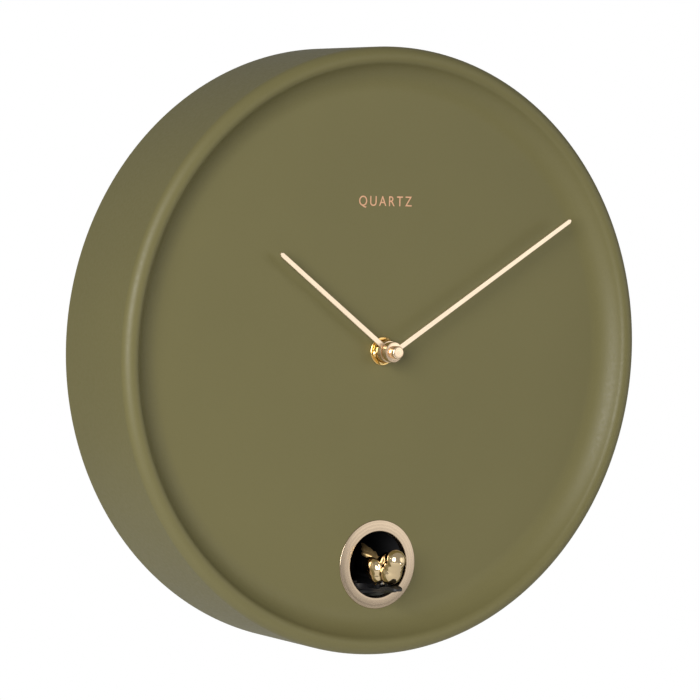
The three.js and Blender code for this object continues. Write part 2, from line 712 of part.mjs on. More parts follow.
function motorPinion() {
  const firstTooth = MOTOR_DIRECTION + 180 + 180 / MOTOR_TEETH;
  const teeth = sideways(gearShape(MOTOR_TEETH, DRIVE_MODULE, firstTooth), 19.6, 22.6);
  return join(
    teeth.translate(0, -motorDepth, motorZ),
    crossRod(1, 9, GEAR_COVER_X + 1.2, motorDepth, motorZ, 10));
}

function rackPinion() {
  const teeth = sideways(gearShape(PINION_TEETH, RACK_MODULE, 90), -1.2, 1.2);
  return join(
    teeth.translate(0, -RACK_DEPTH, PINION_Z),
    crossRod(1, -7.4, GEAR_COVER_X + 1.2, RACK_DEPTH, PINION_Z, 12));
}

function reductionGear() {
  const gear = gearShape(REDUCTION_TEETH, DRIVE_MODULE, MOTOR_DIRECTION, 1 + FIT);
  return sideways(gear, 20, 22.2, 12).translate(0, -RACK_DEPTH, PINION_Z);
}

function rackGap(middleDepth) {
  const pitch = Math.PI * RACK_MODULE;
  const rootZ = RACK_PITCH_Z + ROOT_DEPTH * RACK_MODULE;
  const mouth = PERCH_BOTTOM - 0.2;
  const rootHalf = pitch * (0.5 - ROOT_SHARE);
  const mouthHalf = pitch * (0.5 - TIP_SHARE);
  const outline = polygon([
    [-middleDepth - mouthHalf, mouth], [-middleDepth + mouthHalf, mouth],
    [-middleDepth + rootHalf, rootZ], [-middleDepth - rootHalf, rootZ],
  ]);
  return sideways(outline, -1.6, 1.6);
}

// The carriage seen from above, in x and depth: a round tip, then a neck, then the wide guided tail
function carriagePlan() {
  const plan = new THREE.Shape();
  plan.absarc(0, PERCH_TIP_DEPTH - PERCH_TIP_RADIUS, PERCH_TIP_RADIUS, 0.12, Math.PI - 0.12);
  plan.lineTo(-PERCH_HALF, 50);
  plan.lineTo(-PERCH_HALF, 46);
  plan.lineTo(-CARRIAGE_HALF, 44.5);
  plan.lineTo(-CARRIAGE_HALF, CARRIAGE_BACK);
  plan.lineTo(CARRIAGE_HALF, CARRIAGE_BACK);
  plan.lineTo(CARRIAGE_HALF, 44.5);
  plan.lineTo(PERCH_HALF, 46);
  plan.lineTo(PERCH_HALF, 50);
  return plan;
}

// The tongue that carries the bird: its raised toe is the perch, two ears hold the bird's pivot,
// and the rack's teeth are cut in its underside
function birdCarriage() {
  const side = polygon([
    [-PERCH_TIP_DEPTH, TOE_BOTTOM], [-TOE_START - 2, TOE_BOTTOM], [-TOE_START, PERCH_BOTTOM],
    [-CARRIAGE_BACK, PERCH_BOTTOM], [-CARRIAGE_BACK, CARRIAGE_TOP], [-49, CARRIAGE_TOP], [-51, PERCH_TOP],
    [-PIVOT_DEPTH - 4, PERCH_TOP], [-PIVOT_DEPTH - 6, TOE_TIP], [-TOE_RIDGE_DEPTH, TOE_RIDGE],
    [-PERCH_TIP_DEPTH, TOE_TIP],
  ]);
  const upright = { depth: 8, bevelEnabled: false, curveSegments: 8 };
  const prism = new THREE.ExtrudeGeometry(carriagePlan(), upright);
  prism.rotateX(Math.PI).translate(0, 0, CARRIAGE_TOP + 2);
  const tongue = solidOf(sideways(side, -12, 12)).intersect(solidOf(prism));
  const ears = [];
  for (const direction of [-1, 1]) {
    const [left, right] = span(direction * EAR_INNER, direction * EAR_OUTER);
    ears.push(block(left, right, PIVOT_DEPTH - 1.6, PIVOT_DEPTH + 1.6, PERCH_TOP - 0.5, PIVOT_Z + 1.5));
  }
  const gaps = [];
  for (let tooth = -1; tooth < RACK_TEETH - 1; tooth++) {
    gaps.push(rackGap(RACK_DEPTH + tooth * Math.PI * RACK_MODULE));
  }
  const bore = crossRod(PIVOT_PIN + 0.08, -5, 5, PIVOT_DEPTH, PIVOT_Z, 12);
  return cut(join(geometryOf(tongue), ...ears), bore, ...gaps);
}

function egg(x, depth, z, halfX, halfDepth, halfZ, tilt = 0) {
  const sphere = new THREE.SphereGeometry(1, 14, 8).scale(halfX, halfDepth, halfZ);
  return sphere.rotateX(radians(tilt)).translate(x, -depth, z);
}

// A plump bird: breast, back, head, two folded wings and a raised tail, with pockets for the ears
function bird() {
  const back = egg(0, 55, -108.6, 6.2, 9, 6);
  const breast = egg(0, 61.6, -108.2, 5.6, 6.4, 6.4);
  const head = egg(0, 66.2, -102.2, 4.9, 5, 5);
  const throat = egg(0, 63.6, -105.2, 5, 5, 4.6);
  const nape = egg(0, 60, -104.2, 4.5, 7.3, 4.7, -20);
  const shank = block(-4.4, 4.4, PIVOT_DEPTH - 3, PIVOT_DEPTH + 3, PERCH_TOP + 0.5, -110);
  const beak = new THREE.ConeGeometry(1.7, 3.6, 12).rotateX(Math.PI).translate(0, -70.7, -103.6);
  const tailOutline = polygon([
    [-50, -107], [-45, -102.9], [-37.8, -100.6], [-35, -97.2], [-42, -98.6], [-50, -103],
  ]);
  const tail = sideways(tailOutline, -2.8, 2.8);
  const parts = [breast, head, throat, nape, shank, beak, tail];
  const pockets = [];
  for (const direction of [-1, 1]) {
    const [left, right] = span(direction * (EAR_INNER - 0.4), direction * (EAR_OUTER + 0.5));
    parts.push(egg(direction * 5.8, 54.8, -106.8, 2.9, 6, 4.8));
    pockets.push(block(left, right, PIVOT_DEPTH - 2.6, PIVOT_DEPTH + 2.6, -120, PIVOT_Z + 2.2));
  }
  const bore = crossRod(PIVOT_PIN + 0.08, -5, 5, PIVOT_DEPTH, PIVOT_Z, 12);
  return cut(join(back, ...parts), bore, ...pockets);
}

// ---- back cover, battery bay, sound ----------------------------------------------------------

function backCover() {
  const through = COVER_THICKNESS + 1;
  const windows = [rod(KNOB_WELL, -1, through, 28).translate(0, 0, SET_Z)];
  for (const [left, right, bottom, top] of [
    [-14, 14, HANGER_BOTTOM + 2, HANGER_TOP - 2.5],
    [BAY_LEFT, BAY_RIGHT, -BAY_HALF_HEIGHT, BAY_HALF_HEIGHT],
    [SWITCH_X - 6, SWITCH_X + 6, SWITCH_Z - 2, SWITCH_Z + 2],
  ]) {
    windows.push(layer(roundedRectangle(left, right, bottom, top, CORNER), -1, through, 2));
  }
  for (let row = -3; row <= 3; row++) {
    const offset = row * GRILLE_PITCH;
    const reach = Math.sqrt(GRILLE_RADIUS ** 2 - offset ** 2) - GRILLE_SLOT;
    windows.push(layer(slot(SPEAKER_X + offset, -reach, reach, GRILLE_SLOT), -1, through, 4));
  }
  for (const [x, z] of postPlaces()) {
    windows.push(rod(SCREW_HEAD + RUN, -1, 1.1, 12).translate(x, 0, z));
    windows.push(rod(2.1, 0, through, 10).translate(x, 0, z));
  }
  for (const x of [BAY_LEFT - 0.4, BAY_RIGHT + 0.4]) {
    windows.push(block(x - 0.9, x + 0.9, 0.1, through, DOOR_PIVOT_Z - 1, DOOR_PIVOT_Z + 1));
  }
  const bosses = [];
  for (const x of [BOARD.left + 5, BOARD.right - 5]) {
    for (const z of [BOARD.bottom + 5, BOARD.top - 5]) {
      bosses.push(rod(2.6, COVER_THICKNESS - 0.5, BOARD.depth - FIT, 8).translate(x, 0, z));
    }
  }
  return cut(join(rod(COVER_RADIUS, 0, COVER_THICKNESS, CASE_SEGMENTS), ...bosses), ...windows);
}

function postPlaces() {
  return [
    [POST_OFFSET, POST_OFFSET], [-POST_OFFSET, POST_OFFSET],
    [-POST_OFFSET, -POST_OFFSET], [POST_OFFSET, -POST_OFFSET],
  ];
}

function batteryBox() {
  const back = COVER_THICKNESS + FIT;
  const outer = block(
    BAY_LEFT - BAY_WALL, BAY_RIGHT + BAY_WALL, back, BAY_DEPTH + BAY_WALL,
    -BAY_HALF_HEIGHT - BAY_WALL, BAY_HALF_HEIGHT + BAY_WALL);
  const inner = block(BAY_LEFT, BAY_RIGHT, 0, BAY_DEPTH, -BAY_HALF_HEIGHT, BAY_HALF_HEIGHT);
  return cut(outer, inner);
}

// The door hangs from its pins at the top, with a finger notch in its lower edge
function batteryDoor() {
  const left = BAY_LEFT + RUN;
  const right = BAY_RIGHT - RUN;
  const bottom = RUN - BAY_HALF_HEIGHT;
  const notch = (left + right) / 2;
  const shape = polygon([
    [left, DOOR_PIVOT_Z], [left, bottom + CORNER], [left + CORNER, bottom], [notch - 7, bottom],
    [notch - 4, bottom + 5], [notch + 4, bottom + 5], [notch + 7, bottom], [right - CORNER, bottom],
    [right, bottom + CORNER], [right, DOOR_PIVOT_Z],
  ]);
  const leaf = layer(shape, 0.3, 1.9);
  const barrel = crossRod(0.8, left, right, DOOR_PIVOT_DEPTH, DOOR_PIVOT_Z, 12);
  const pin = crossRod(0.6, BAY_LEFT - 1, BAY_RIGHT + 1, DOOR_PIVOT_DEPTH, DOOR_PIVOT_Z, 12);
  return join(leaf, barrel, pin);
}

function cellX(position) {
  return BAY_LEFT + (BAY_RIGHT - BAY_LEFT) / CELL_COUNT * (position + 0.5);
}

function cell(position) {
  const half = CELL_LENGTH / 2;
  const nub = 2.7;
  const shoulder = half - 1.2;
  const lying = turned([
    [0, -half], [CELL_RADIUS, -half], [CELL_RADIUS, shoulder], [nub, shoulder], [nub, half], [0, half],
  ], 16);
  const upright = lying.rotateX(position % 2 === 0 ? -Math.PI / 2 : Math.PI / 2);
  return upright.translate(cellX(position), -CELL_DEPTH, 0);
}

function contactStrip(side) {
  const wall = BAY_HALF_HEIGHT - FIT;
  const [bottom, top] = span(side * wall, side * (wall - 0.5));
  const [low, high] = span(side * (wall - 0.3), side * (CELL_LENGTH / 2 + 0.3));
  const fingers = [];
  for (let position = 0; position < CELL_COUNT; position++) {
    const x = cellX(position);
    fingers.push(block(x - 2, x + 2, CELL_DEPTH - 2, CELL_DEPTH + 2, low, high));
  }
  return join(block(BAY_LEFT + 1, BAY_RIGHT - 1, 5, 16, bottom, top), ...fingers);
}

function speakerFrame() {
  return turned([
    [21.3, 2.4], [SPEAKER_RADIUS, 2.4], [SPEAKER_RADIUS, 4.2], [22.6, 4.2], [13.5, 15.4], [13.5, 17],
    [4.5, 17], [4.5, 15.7], [12, 15.7], [21.3, 4],
  ], 24).translate(SPEAKER_X, 0, 0);
}

function speakerCone() {
  const cone = turned([[0, 10.6], [6.5, 11.8], [20.9, 2.8], [20.9, 3.6], [7, 13], [0, 12.6]], 24);
  return cone.translate(SPEAKER_X, 0, 0);
}

function controlBoard() {
  return block(BOARD.left, BOARD.right, BOARD.depth, BOARD.depth + 1.6, BOARD.bottom, BOARD.top);
}

function switchBody() {
  const body = block(SWITCH_X - 8, SWITCH_X + 8, 3, BOARD.depth - FIT, SWITCH_Z - 4, SWITCH_Z + 4);
  const track = block(SWITCH_X - 6.5, SWITCH_X + 6.5, 0, 5.5, SWITCH_Z - 1.8, SWITCH_Z + 1.8);
  return cut(body, track);
}

function switchSlider() {
  const foot = block(-2.4, 2.4, 3.4, 5.2, -1.4, 1.4);
  const lever = block(-1.5, 1.5, 0.4, 3.6, -1.2, 1.2);
  return join(foot, lever).translate(SWITCH_X - SWITCH_TRAVEL / 2, 0, SWITCH_Z);
}

// ---- assembly --------------------------------------------------------------------------------

add('case_shell', caseShell(), olivePaint());
add('window_ring', windowRing(), roseGold());
postPlaces().forEach(([x, z], index) => {
  add(`case_post_${index + 1}`, casePost().translate(x, 0, z), steel());
  add(`cover_screw_${index + 1}`, coverScrew().translate(x, 0, z), steel());
});
add('hanger_bracket', hangerBracket(), steel());
add('back_cover', backCover(), blackPlastic());

add('hub_gasket', tube(BUSHING_OUTER + RUN, 14, MOVEMENT_FRONT + FIT, DIAL_BACK - FIT, 16), blackRubber());
add('hub_bushing', hubBushing(), yellowBrass());
add('hub_washer', tube(BUSHING_OUTER + FIT, 7, DIAL_FRONT + FIT / 2, DIAL_FRONT + 0.8), yellowBrass());
add('hub_nut', hubNut(), yellowBrass());
add('hour_hand', hourHand(), roseGold());
add('minute_hand', minuteHand(), roseGold());
add('hand_cap', handCap(), roseGold());

add('movement_base', movementBase(), blackPlastic());
add('movement_cover', movementCover(), blackPlastic());
add('minute_arbor', minuteArbor(), steel());
add('center_wheel', centerWheel(), whitePlastic());
add('hour_wheel', hourWheel(), whitePlastic());
add('set_wheel', setWheel(), whitePlastic());
add('set_stem', setStem(), whitePlastic());
add('set_knob', setKnob(), greyPlastic());
add('third_wheel', thirdWheel(), whitePlastic());
add('rotor', rotor(), whitePlastic());
add('stator', stator(), steel());
add('coil', coil(), copperWire());
add('movement_board', block(-26, -13, 38, 39, -24, -5), greenBoard());

add('drive_housing', driveHousing(), blackPlastic());
add('tunnel_gasket', tunnelGasket(), blackRubber());
add('gear_cover', gearCover(), blackPlastic());
add('drive_motor', driveMotor(), steel());
add('motor_pinion', motorPinion(), yellowBrass());
add('rack_pinion', rackPinion(), whitePlastic());
add('reduction_gear', reductionGear(), whitePlastic());
add('bird_carriage', birdCarriage(), blackPlastic());
add('bird_pivot_pin', crossRod(PIVOT_PIN, -3.6, 3.6, PIVOT_DEPTH, PIVOT_Z, 12), steel());
add('bird', bird(), goldPlate());

add('battery_box', batteryBox(), blackPlastic());
add('battery_door', batteryDoor(), blackPlastic());
for (let position = 0; position < CELL_COUNT; position++) {
  add(`battery_${position + 1}`, cell(position), cellWrap());
}
add('contact_strip_top', contactStrip(1), steel());
add('contact_strip_bottom', contactStrip(-1), steel());

add('speaker_frame', speakerFrame(), steel());
add('speaker_cone', speakerCone(), paperCone());
add('speaker_magnet', rod(11, 17.1, 23, 24).translate(SPEAKER_X, 0, 0), steel());
add('control_board', controlBoard(), greenBoard());
add('sound_chip', block(-60, -50, BOARD.depth + 1.7, BOARD.depth + 3.2, -74, -64), blackPlastic());
add('switch_body', switchBody(), blackPlastic());
add('switch_slider', switchSlider(), greyPlastic());

add('speaker_lead', lead(SPEAKER_LEAD_ROUTE), blackRubber());
add('battery_lead', lead(BATTERY_LEAD_ROUTE), blackRubber());
add('motor_lead', lead(MOTOR_LEAD_ROUTE), blackRubber());

export default clock;
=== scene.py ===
"""Looks for the wall clock with a calling bird. Metres; the dial faces -Y, +Z is up, the wall is y = 0."""
import json
import math

import bmesh
import bpy
from mathutils import Matrix, Vector

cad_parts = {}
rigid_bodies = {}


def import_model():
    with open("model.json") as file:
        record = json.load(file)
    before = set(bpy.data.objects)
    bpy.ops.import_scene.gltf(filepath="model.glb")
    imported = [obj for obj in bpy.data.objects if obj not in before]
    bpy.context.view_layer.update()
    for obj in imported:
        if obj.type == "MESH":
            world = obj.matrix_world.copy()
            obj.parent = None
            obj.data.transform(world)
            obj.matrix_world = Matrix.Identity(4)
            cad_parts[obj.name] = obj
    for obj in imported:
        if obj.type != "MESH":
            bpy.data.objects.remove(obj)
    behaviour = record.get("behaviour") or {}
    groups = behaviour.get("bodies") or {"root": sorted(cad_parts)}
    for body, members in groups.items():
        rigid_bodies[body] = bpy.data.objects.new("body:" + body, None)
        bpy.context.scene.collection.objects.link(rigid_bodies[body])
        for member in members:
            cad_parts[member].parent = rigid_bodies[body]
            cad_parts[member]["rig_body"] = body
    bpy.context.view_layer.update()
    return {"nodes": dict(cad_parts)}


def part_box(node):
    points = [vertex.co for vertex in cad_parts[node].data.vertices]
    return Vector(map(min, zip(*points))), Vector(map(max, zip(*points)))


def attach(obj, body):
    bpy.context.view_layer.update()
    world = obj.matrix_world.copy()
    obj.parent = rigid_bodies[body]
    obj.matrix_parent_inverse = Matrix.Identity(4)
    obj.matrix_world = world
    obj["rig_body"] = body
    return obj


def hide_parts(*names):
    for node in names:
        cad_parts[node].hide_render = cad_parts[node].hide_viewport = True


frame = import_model()

MM = 0.001

# Driving dimensions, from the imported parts
CASE_LOW, CASE_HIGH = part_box("case_shell")
CASE_RADIUS = (CASE_HIGH.x - CASE_LOW.x) / 2
CASE_DEPTH = -CASE_LOW.y
DIAL_RECESS = 10 * MM
SHEET = 1.2 * MM
OUTER_ROUNDING = 5 * MM
INNER_ROUNDING = 4 * MM
DISH_ANGLE = math.radians(60)
DIAL_Y = -(CASE_DEPTH - DIAL_RECESS)
RING_LOW, RING_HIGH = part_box("window_ring")
WINDOW_Z = (RING_LOW.z + RING_HIGH.z) / 2
RING_OUTER = (RING_HIGH.x - RING_LOW.x) / 2
RING_INNER = 16.6 * MM
RING_COLLAR = 18.5 * MM
WINDOW_HOLE = 18.8 * MM
HUB_HOLE = 5.2 * MM

# Hands and hub: angles from twelve o'clock, lengths and radii from the arbor's axis
HOUR_ANGLE = math.radians(-53)
MINUTE_ANGLE = math.radians(58)
HOUR_LENGTH = 80 * MM
MINUTE_LENGTH = 125 * MM
HOUR_COLLAR = 5.4 * MM
MINUTE_COLLAR = 5 * MM
HOUR_BORE = 3.4 * MM
MINUTE_BORE = 1.9 * MM
HUB_BORE = 5 * MM
NUT_FLAT = 6 * MM
NUT_TURN = math.radians(12)
BUSH_OUTER = 4.9 * MM
BUSH_INNER = 3.6 * MM
BUSH_FLANGE = 7 * MM
THREAD_PITCH = 0.5 * MM

# The bird, in millimetres
PIVOT_Y = -54
PERCH_TOP = -116.75
EYE_RADIUS = 0.6

# The word on the dial
WORD_WIDTH = 31 * MM
WORD_HEIGHT = 4.9 * MM
WORD_Z = 74.15 * MM
FOIL = 0.05 * MM

# The camera, at the photograph's angle
CAMERA_TARGET = Vector((0, -0.03, 0))
CAMERA_AZIMUTH = math.radians(-32.84)
CAMERA_ELEVATION = math.radians(2.97)
CAMERA_ROLL = math.radians(1.31)
CAMERA_DISTANCE = 1.669
CAMERA_LENS = 171.8
CAMERA_SHIFT = (-0.0146, -0.0017)

# The studio. Reflections see a bright card in a dimmer room, fading from its core to its edge
FLOOR_Z = -0.3
FLOOR_RADIUS = 0.6
FLOOR_THICKNESS = 0.01
FLOOR_GLOW = 0.32
SOFTBOX_WIDTH = 1.0
SOFTBOX_HEIGHT = 1.2
CARD_AZIMUTH = math.radians(38)
CARD_ELEVATION = math.radians(8)
CARD_CORE = math.radians(13)
CARD_EDGE = math.radians(24)
CARD_GLOW = 1.36
ROOM_REFLECTED = 0.34
ROOM_GLOW = 0.04

# How meshes are cleaned, and how finely round pieces are divided
SAME_SPOT = 1e-7
CAD_SAME_SPOT = 2e-6
FLAT_ANGLE = math.radians(1)
BEVEL_ANGLE = math.radians(30)
EDGE_ANGLE = math.radians(35)
CASE_SEGMENTS = 288
HOLE_SEGMENTS = 96
RING_SEGMENTS = 192

# Radians that a wave texture of scale 1 moves on in a metre
WAVE_RATE = 20

CHAMPAGNE = (0.96, 0.78, 0.57)
OLIVE = (0.168, 0.149, 0.057)


# ---- small mesh tools --------------------------------------------------------------------------

def loose(name, data):
    """An object for a mesh, a lamp or a camera, in the scene and on no body."""
    piece = bpy.data.objects.new(name, data)
    bpy.context.scene.collection.objects.link(piece)
    return piece


def written(name, work):
    """A mesh from a bmesh, which is freed."""
    mesh = bpy.data.meshes.new(name)
    work.to_mesh(mesh)
    work.free()
    return mesh


def mesh_piece(name, vertices, faces, material, sharp_degrees=32):
    mesh = bpy.data.meshes.new(name)
    mesh.from_pydata(vertices, [], faces)
    return dressed(name, mesh, material, sharp_degrees)


def dressed(name, mesh, material, sharp_degrees=32):
    """An object for a mesh, with outward faces, smooth shading and creases kept sharp."""
    work = bmesh.new()
    work.from_mesh(mesh)
    bmesh.ops.remove_doubles(work, verts=work.verts, dist=SAME_SPOT)
    bmesh.ops.recalc_face_normals(work, faces=work.faces)
    work.to_mesh(mesh)
    work.free()
    mesh.shade_smooth()
    mesh.set_sharp_from_angle(angle=math.radians(sharp_degrees))
    mesh.materials.append(material)
    return loose(name, mesh)


def install(piece, body, node=None):
    """Puts a piece on its body, and in the place of the CAD node that it stands for."""
    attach(piece, body)
    if node:
        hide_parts(node)


def repaint(piece, material):
    piece.data.materials.clear()
    piece.data.materials.append(material)


def apply_modifiers(piece):
    graph = bpy.context.evaluated_depsgraph_get()
    graph.update()
    mesh = bpy.data.meshes.new_from_object(piece.evaluated_get(graph))
    piece.modifiers.clear()
    piece.data = mesh


def lathe_mesh(profile, segments, centre=(0, 0), closed=True):
    """Vertices and faces of a profile of (radius, y) turned about a Y axis through centre = (x, z)."""
    vertices, rings, faces = [], [], []
    for radius, y in profile:
        ring = []
        count = 1 if radius < SAME_SPOT else segments
        for step in range(count):
            angle = 2 * math.pi * step / segments
            vertices.append((centre[0] + radius * math.cos(angle), y, centre[1] + radius * math.sin(angle)))
            ring.append(len(vertices) - 1)
        rings.append(ring)
    pairs = list(zip(rings, rings[1:]))
    if closed:
        pairs.append((rings[-1], rings[0]))
    for one, two in pairs:
        for step in range(segments):
            after = (step + 1) % segments
            corners = [one[step % len(one)], one[after % len(one)]]
            corners += [two[after % len(two)], two[step % len(two)]]
            face = list(dict.fromkeys(corners))
            if len(face) > 2:
                faces.append(face)
    return vertices, faces


def lathe(name, profile, material, segments=96, centre=(0, 0), sharp_degrees=32):
    vertices, faces = lathe_mesh(profile, segments, centre)
    return mesh_piece(name, vertices, faces, material, sharp_degrees)


def arc(radius, y, size, start, end, steps):
    """Points of an arc round (radius, y), in degrees: 0 is outwards and 90 is towards the viewer."""
    points = []
    for step in range(steps + 1):
        angle = math.radians(start + (end - start) * step / steps)
        points.append((radius + size * math.cos(angle), y - size * math.sin(angle)))
    return points


def joined(name, pieces, material):
    """One object from several loose ones, which are removed."""
    work = bmesh.new()
    for piece in pieces:
        work.from_mesh(piece.data)
        bpy.data.objects.remove(piece)
    return dressed(name, written(name, work), material)


def bevelled(piece, width, segments=3, limit="ANGLE"):
    """Rounds the edges that turn by over BEVEL_ANGLE, or with limit WEIGHT the edges that were marked."""
    bevel = piece.modifiers.new("edges", "BEVEL")
    bevel.width = width
    bevel.segments = segments
    bevel.limit_method = limit
    bevel.angle_limit = BEVEL_ANGLE
    bevel.harden_normals = True
    apply_modifiers(piece)
    return piece


def softened(node, material, width):
    """A piece with the node's own shape, coplanar triangles merged and its outward edges rounded."""
    name = node + "_fine"
    source = frame["nodes"][node]
    work = bmesh.new()
    work.from_mesh(source.data)
    bmesh.ops.remove_doubles(work, verts=work.verts, dist=CAD_SAME_SPOT)
    bmesh.ops.dissolve_limit(work, angle_limit=FLAT_ANGLE, verts=work.verts, edges=work.edges)
    mark = work.edges.layers.float.new("bevel_weight_edge")
    for edge in work.edges:
        if edge.is_manifold and edge.calc_face_angle_signed() > EDGE_ANGLE:
            edge[mark] = 1
    piece = bevelled(dressed(name, written(name, work), material), width, 2, "WEIGHT")
    install(piece, source["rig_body"], node)


# ---- materials ---------------------------------------------------------------------------------

def blank_material(name):
    material = bpy.data.materials.new(name)
    material.use_nodes = True
    tree = material.node_tree
    shader = tree.nodes["Principled BSDF"]
    place = tree.nodes.new("ShaderNodeTexCoord").outputs["Object"]
    return material, tree, shader, place


def noise(tree, place, scale, detail=3, roughness=0.5, stretch=None):
    if stretch is not None:
        mapping = tree.nodes.new("ShaderNodeMapping")
        mapping.inputs["Scale"].default_value = stretch
        tree.links.new(place, mapping.inputs["Vector"])
        place = mapping.outputs["Vector"]
    node = tree.nodes.new("ShaderNodeTexNoise")
    node.inputs["Scale"].default_value = scale
    node.inputs["Detail"].default_value = detail
    node.inputs["Roughness"].default_value = roughness
    tree.links.new(place, node.inputs["Vector"])
    return node.outputs["Fac"]


def ranged(tree, value, low, high, start=0.3, end=0.7):
    node = tree.nodes.new("ShaderNodeMapRange")
    node.inputs["From Min"].default_value = start
    node.inputs["From Max"].default_value = end
    node.inputs["To Min"].default_value = low
    node.inputs["To Max"].default_value = high
    tree.links.new(value, node.inputs["Value"])
    return node.outputs["Result"]


def two_colours(tree, value, one, two):
    node = tree.nodes.new("ShaderNodeMix")
    node.data_type = "RGBA"
    node.inputs["A"].default_value = (*one, 1)
    node.inputs["B"].default_value = (*two, 1)
    tree.links.new(value, node.inputs["Factor"])
    return node.outputs["Result"]


def bump(tree, shader, height, distance, strength=1.0, under=None):
    node = tree.nodes.new("ShaderNodeBump")
    node.inputs["Strength"].default_value = strength
    node.inputs["Distance"].default_value = distance
    tree.links.new(height, node.inputs["Height"])
    if under is not None:
        tree.links.new(under, node.inputs["Normal"])
    tree.links.new(node.outputs["Normal"], shader.inputs["Normal"])
    return node.outputs["Normal"]


def shade(colour, factor):
    return tuple(min(1.0, channel * factor) for channel in colour)


def tint(tree, shader, value, colour, low, high):
    """Base colour from low to high times itself, over the middle range of a noise value."""
    share = ranged(tree, value, 0, 1)
    mixed = two_colours(tree, share, shade(colour, low), shade(colour, high))
    tree.links.new(mixed, shader.inputs["Base Color"])


def gloss(tree, shader, value, low, high, start=0.3, end=0.7):
    """Roughness from low to high as the value runs from start to end."""
    tree.links.new(ranged(tree, value, low, high, start, end), shader.inputs["Roughness"])


def surface(name, colour, rough, metal, variation, patch, grain, relief, rough_spread, specular=0.5):
    """Colour that varies in soft patches, and a fine grain in gloss and relief (in millimetres)."""
    material, tree, shader, place = blank_material(name)
    patches = noise(tree, place, patch, 4)
    fine = noise(tree, place, grain, 2, 0.6)
    tint(tree, shader, patches, colour, 1 - variation, 1 + variation)
    gloss(tree, shader, fine, rough - rough_spread, rough + rough_spread)
    shader.inputs["Metallic"].default_value = metal
    shader.inputs["Specular IOR Level"].default_value = specular
    bump(tree, shader, fine, relief * MM)
    return material


def powder_coat():
    """Satin powder coat: fine orange peel, slow changes of tone and tiny paler and darker flecks."""
    material, tree, shader, place = blank_material("moss_powder_coat")
    slow = noise(tree, place, 14, 3)
    peel = noise(tree, place, 620, 2, 0.45)
    speck = noise(tree, place, 2600, 1, 0.5)
    base = two_colours(tree, ranged(tree, slow, 0, 1), shade(OLIVE, 0.975), shade(OLIVE, 1.025))
    flecks = two_colours(tree, ranged(tree, speck, 0, 1, 0.25, 0.75), (0.94, 0.94, 0.94), (1.05, 1.05, 1.05))
    flecked = tree.nodes.new("ShaderNodeMix")
    flecked.data_type = "RGBA"
    flecked.blend_type = "MULTIPLY"
    flecked.inputs["Factor"].default_value = 1.0
    tree.links.new(base, flecked.inputs["A"])
    tree.links.new(flecks, flecked.inputs["B"])
    tree.links.new(flecked.outputs["Result"], shader.inputs["Base Color"])
    gloss(tree, shader, peel, 0.45, 0.55)
    shader.inputs["Specular IOR Level"].default_value = 0.42
    fine = bump(tree, shader, speck, 0.006 * MM, 0.6)
    bump(tree, shader, peel, 0.02 * MM, 0.5, fine)
    return material


def turned_metal(name, colour, rough, centre, spacing, relief=0.004):
    """Metal faced on a lathe: fine rings about a Y axis through centre. Spacing and relief are in mm."""
    material, tree, shader, place = blank_material(name)
    mapping = tree.nodes.new("ShaderNodeMapping")
    mapping.inputs["Location"].default_value = (-centre[0], 0, -centre[1])
    tree.links.new(place, mapping.inputs["Vector"])
    wave = tree.nodes.new("ShaderNodeTexWave")
    wave.wave_type = "RINGS"
    wave.rings_direction = "Y"
    wave.inputs["Scale"].default_value = 2 * math.pi / WAVE_RATE / (spacing * MM)
    wave.inputs["Distortion"].default_value = 1.5
    wave.inputs["Detail"].default_value = 2
    wave.inputs["Detail Scale"].default_value = 3
    tree.links.new(mapping.outputs["Vector"], wave.inputs["Vector"])
    patches = noise(tree, place, 90, 4)
    tint(tree, shader, patches, colour, 0.96, 1.03)
    gloss(tree, shader, wave.outputs["Fac"], rough - 0.06, rough + 0.06, 0, 1)
    shader.inputs["Metallic"].default_value = 1
    bump(tree, shader, wave.outputs["Fac"], relief * MM)
    return material


def brushed_metal(name, colour, rough, along):
    """Metal brushed along one direction, given as an angle in the dial's plane."""
    material, tree, shader, place = blank_material(name)
    turn = tree.nodes.new("ShaderNodeMapping")
    turn.vector_type = "TEXTURE"
    turn.inputs["Rotation"].default_value = (0, along, 0)
    tree.links.new(place, turn.inputs["Vector"])
    streaks = noise(tree, turn.outputs["Vector"], 60, 3, 0.6, (120, 60, 1))
    patches = noise(tree, place, 70, 3)
    tint(tree, shader, patches, colour, 0.96, 1.03)
    gloss(tree, shader, streaks, rough - 0.07, rough + 0.07)
    shader.inputs["Metallic"].default_value = 1
    bump(tree, shader, streaks, 0.004 * MM)
    return material


def moulded_plastic(name, colour, rough=0.5, grain=1500, relief=0.02):
    """Spark-eroded mould texture: small round cells over a soft variation in gloss."""
    material, tree, shader, place = blank_material(name)
    cells = tree.nodes.new("ShaderNodeTexVoronoi")
    cells.inputs["Scale"].default_value = grain
    tree.links.new(place, cells.inputs["Vector"])
    patches = noise(tree, place, 35, 4)
    tint(tree, shader, patches, colour, 0.88, 1.14)
    gloss(tree, shader, patches, rough - 0.06, rough + 0.07)
    shader.inputs["Specular IOR Level"].default_value = 0.45
    bump(tree, shader, cells.outputs["Distance"], relief * MM, 0.5)
    return material


def coil_wire():
    """Lacquered copper wound in close turns along X, coloured darker in the grooves between the turns as
    painted shade.
    """
    material, tree, shader, place = blank_material("copper_winding")
    turns = tree.nodes.new("ShaderNodeTexWave")
    turns.bands_direction = "X"
    turns.inputs["Scale"].default_value = 260
    turns.inputs["Distortion"].default_value = 0.8
    tree.links.new(place, turns.inputs["Vector"])
    # The colour follows the turns: darker in the grooves between them, which is painted shade
    tree.links.new(two_colours(tree, turns.outputs["Fac"], (0.23, 0.07, 0.02), (0.58, 0.25, 0.1)),
                   shader.inputs["Base Color"])
    gloss(tree, shader, turns.outputs["Fac"], 0.25, 0.4, 0, 1)
    shader.inputs["Metallic"].default_value = 0.8
    bump(tree, shader, turns.outputs["Fac"], 0.05 * MM)
    return material


